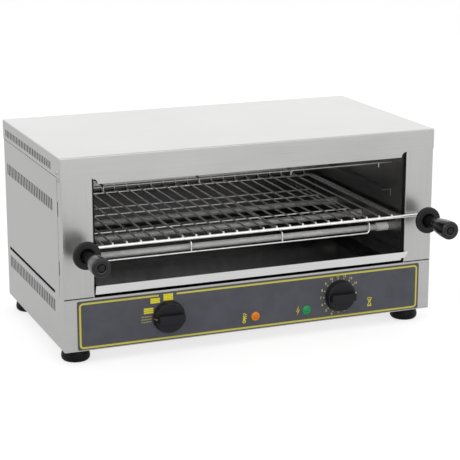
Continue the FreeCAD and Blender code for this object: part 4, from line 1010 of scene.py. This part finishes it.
class GRILL_OT_screws(Operator):
    """Drive the case screws: domed heads with a cross recess"""
    bl_idname = "grill.screws"
    bl_label = "Drive the Screws"

    def execute(self, context):
        own = context.scene.toaster_grill.fastener
        steel = plated("screw steel", (0.58, 0.58, 0.57), 0.28)
        radius = own.head_radius / MM
        height = own.head_height / MM
        head = [(0, -4.0), (1.7, -4.0, 0.5), (1.7, 0), (radius, 0), (radius, 0.5, 0.3),
                (radius * 0.78, height * 0.82, 0.6), (radius * 0.35, height, 0.6), (0, height)]
        pattern = Shape().turned(head, (0, 0, 0), "Z", 28).finished("screw_pattern", steel)
        for name, node, seats in (("case_screw_heads", "case_screws", self.side_seats()),
                                  ("back_screw_heads", "back_screws", self.back_seats(own.head_height))):
            rule = Rule(f"{name} rule")
            form = rule.step("ObjectInfo", {"transform_space": "ORIGINAL"}, Object=pattern)
            recess = rule.value("Recess", own.recess)
            narrow = rule.value("Recess Width", 0.9 * MM)
            deep = rule.value("Recess Depth", 2.2 * MM)
            top = rule.value("Recess Centre", (0.0, 0.0, own.head_height))
            slots = [rule.step("MeshCube", Size=rule.node("ShaderNodeCombineXYZ", X=first, Y=second, Z=deep))
                     for first, second in ((recess, narrow), (narrow, recess))]
            cutter = rule.step("MeshBoolean", {"operation": "UNION"}, Mesh_2=slots)
            lifted = rule.step("Transform", Geometry=cutter, Translation=top)
            carved = rule.step("MeshBoolean", {"operation": "DIFFERENCE"}, Mesh_1=form.outputs["Geometry"],
                               Mesh_2=lifted)
            spin = rule.step("InputNamedAttribute", {"data_type": "FLOAT_VECTOR"}, Name="turn")
            rule.close(rule.step("InstanceOnPoints", Points=rule.given, Instance=carved, Rotation=spin), steel)
            places, spins = zip(*seats)
            fitted(rule.made(name, places, turns=spins, sharp=30.0), "case", "bright_metal", node)
        bpy.data.objects.remove(pattern)
        return {"FINISHED"}

    def side_seats(self):
        """Where each side screw sits on its sheet, and its turn, heads outward."""
        low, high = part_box("case_screws")
        depth = (low.y + high.y) / 2
        rows = (("top_cover", high.z - HEAD_EDGE), ("left_post", low.z + HEAD_EDGE))
        return [((-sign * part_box(sheet)[0].x, depth, level),
                 (-QUARTER, 0.5 * sign + 9 * level, -sign * QUARTER))
                for sheet, level in rows for sign in (-1, 1)]

    def back_seats(self, height):
        """Where each back screw sits, and its turn, heads to the back."""
        low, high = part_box("back_screws")
        edge = high.x - HEAD_EDGE
        return [((x, high.y - height, (low.z + high.z) / 2), (-QUARTER, 0.37 * k, 0.0))
                for k, x in enumerate((-edge, 0.0, edge))]


class GRILL_OT_inlet(Operator):
    """Make the ribbed cable gland in the back"""
    bl_idname = "grill.inlet"
    bl_label = "Rib the Inlet"

    def execute(self, context):
        plastic = moulded("gland black", (0.03, 0.03, 0.032), 0.42)
        centre, extent = end_of("cable_gland", 0)
        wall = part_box("back_panel")[1].y / MM + 1.2 - centre.y
        end = extent.y
        outline = [(5.0, 0.0), (9.8, 0.0, 0.5), (9.8, wall), (11.0, wall, 0.3), (11.0, wall + 5.6, 0.6),
                   (9.2, end - 0.6, 1.2), (7.0, end, 0.8), (5.0, end - 0.3)]
        turned("cable_gland_turned", outline, centre, plastic, "case", "black_plastic", "cable_gland")
        rule = Rule("gland ribs rule")
        ring = rule.step("MeshCircle", Vertices=rule.value("Ribs", 18), Radius=rule.value("Ring", 10.7 * MM))
        rib = rule.step("MeshCylinder", Vertices=8, Radius=rule.value("Rib", 0.55 * MM),
                        Depth=rule.value("Length", 5.0 * MM))
        row = rule.step("InstanceOnPoints", Points=ring, Instance=rib)
        middle_of_ribs = (centre + Vector((0.0, wall + 3.0, 0.0))) * MM
        rule.close(rule.upright(row, Translation=rule.value("Centre", tuple(middle_of_ribs))), plastic)
        fitted(rule.made("cable_gland_ribs", [(0, 0, 0)]), "case", "black_plastic")
        coat(plastic, "gland_nut")
        return {"FINISHED"}


class GRILL_OT_stage(Operator):
    """Set the floor, the room, the lamps and the camera"""
    bl_idname = "grill.stage"
    bl_label = "Set the Stage"

    def execute(self, context):
        own = context.scene.toaster_grill.stage
        context.scene.view_settings.view_transform = "Standard"
        self.floor(own)
        self.room(context, own)
        target = Vector(own.target)
        for name, place, size, power in (("key_lamp", (-2.3, -1.7, 2.2), (1.6, 1.3), own.key_power),
                                         ("back_lamp", (1.25, 3.0, 1.25), (3.4, 1.3), own.back_power),
                                         ("side_lamp", (2.4, -0.9, 1.3), (1.2, 1.4), own.side_power),
                                         ("front_lamp", (0.5, -3.4, 1.0), (2.4, 1.4), own.front_power)):
            self.lamp(name, place, target, size, power)
        back = Vector((math.sin(own.azimuth) * math.cos(own.elevation),
                       -math.cos(own.azimuth) * math.cos(own.elevation), math.sin(own.elevation)))
        camera = bpy.data.cameras.new("camera")
        camera.lens = own.lens
        camera.sensor_width = 36.0
        camera.clip_start = 0.05
        camera.clip_end = 100.0
        holder = linked("camera", camera)
        holder.location = target + back * own.distance
        holder.rotation_euler = (-back).to_track_quat("-Z", "Y").to_euler()
        context.scene.camera = holder
        return {"FINISHED"}

    def lamp(self, name, place, target, size, power):
        light = bpy.data.lights.new(name, "AREA")
        light.shape = "RECTANGLE"
        light.size, light.size_y = size
        light.energy = power
        holder = linked(name, light)
        holder.location = place
        holder.rotation_euler = (target - Vector(place)).to_track_quat("-Z", "Y").to_euler()

    def seen(self, tree, direct, mirrored):
        """A level for rays from the camera and one for rays off a mirror or through glass."""
        path = tree.node("ShaderNodeLightPath")
        total = 0.0
        for ray, level in (("Camera", direct), ("Glossy", mirrored), ("Transmission", mirrored)):
            scaled = tree.maths("MULTIPLY", path.outputs[f"Is {ray} Ray"], level)
            total = tree.maths("MAXIMUM", total, scaled)
        return total

    def floor(self, own):
        half = own.floor_width / 2
        data = bpy.data.meshes.new("floor")
        data.from_pydata([(-half, -half, 0), (half, -half, 0), (half, half, 0), (-half, half, 0)], [],
                         [(0, 1, 2, 3)])
        floor = linked("floor", data)
        material = bpy.data.materials.new("floor pale")
        material.use_nodes = True
        material.node_tree.nodes.clear()
        tree = Tree(material.node_tree)
        matt = tree.node("ShaderNodeBsdfDiffuse", Color=(*own.floor_colour, 1))
        lift = tree.node("ShaderNodeEmission", Color=(1, 1, 1, 1), Strength=self.seen(tree, 0.68, 0.40))
        tree.node("ShaderNodeOutputMaterial", Surface=tree.fed("ShaderNodeAddShader", None, 0, matt, lift))
        data.materials.append(material)

    def room(self, context, own):
        world = bpy.data.worlds.new("room")
        world.use_nodes = True
        world.node_tree.nodes.clear()
        tree = Tree(world.node_tree)
        shown = tree.node("ShaderNodeBackground", Color=(1, 1, 1, 1))
        soft = tree.node("ShaderNodeBackground", Color=(1, 1, 1, 1), Strength=own.room_level)
        mix = tree.fed("ShaderNodeMixShader", None, 0, self.seen(tree, 1.0, 1.0), soft, shown)
        tree.node("ShaderNodeOutputWorld", Surface=mix)
        context.scene.world = world


OPERATORS = (GRILL_OT_case, GRILL_OT_cavity, GRILL_OT_wires, GRILL_OT_heaters, GRILL_OT_control_print,
             GRILL_OT_knobs, GRILL_OT_lamps, GRILL_OT_handles, GRILL_OT_feet, GRILL_OT_screws,
             GRILL_OT_inlet, GRILL_OT_stage)
SETTINGS = (SheetSettings, PrintSettings, ControlSettings, HandleSettings, HeaterSettings,
            FastenerSettings, StageSettings, GrillSettings)


class GRILL_PT_sidebar(Panel):
    """Steps that dress the toaster grill"""
    bl_idname = "GRILL_PT_sidebar"
    bl_label = "Toaster Grill"
    bl_space_type = "VIEW_3D"
    bl_region_type = "UI"
    bl_category = "Toaster Grill"

    def draw(self, context):
        own = context.scene.toaster_grill
        for operator in OPERATORS:
            self.layout.operator(operator.bl_idname)
        for part in ("sheet", "print", "control", "handle", "heater", "fastener", "stage"):
            settings = getattr(own, part)
            column = self.layout.box().column()
            column.label(text=part.capitalize())
            for name in settings.__annotations__:
                column.prop(settings, name)


def register():
    for group in (*SETTINGS, *OPERATORS, GRILL_PT_sidebar):
        bpy.utils.register_class(group)
    bpy.types.Scene.toaster_grill = PointerProperty(type=GrillSettings)


def unregister():
    del bpy.types.Scene.toaster_grill
    for group in reversed((*SETTINGS, *OPERATORS, GRILL_PT_sidebar)):
        bpy.utils.unregister_class(group)


def main():
    register()
    for operator in OPERATORS:
        family, name = operator.bl_idname.split(".")
        getattr(getattr(bpy.ops, family), name)()


if __name__ == "__main__":
    main()
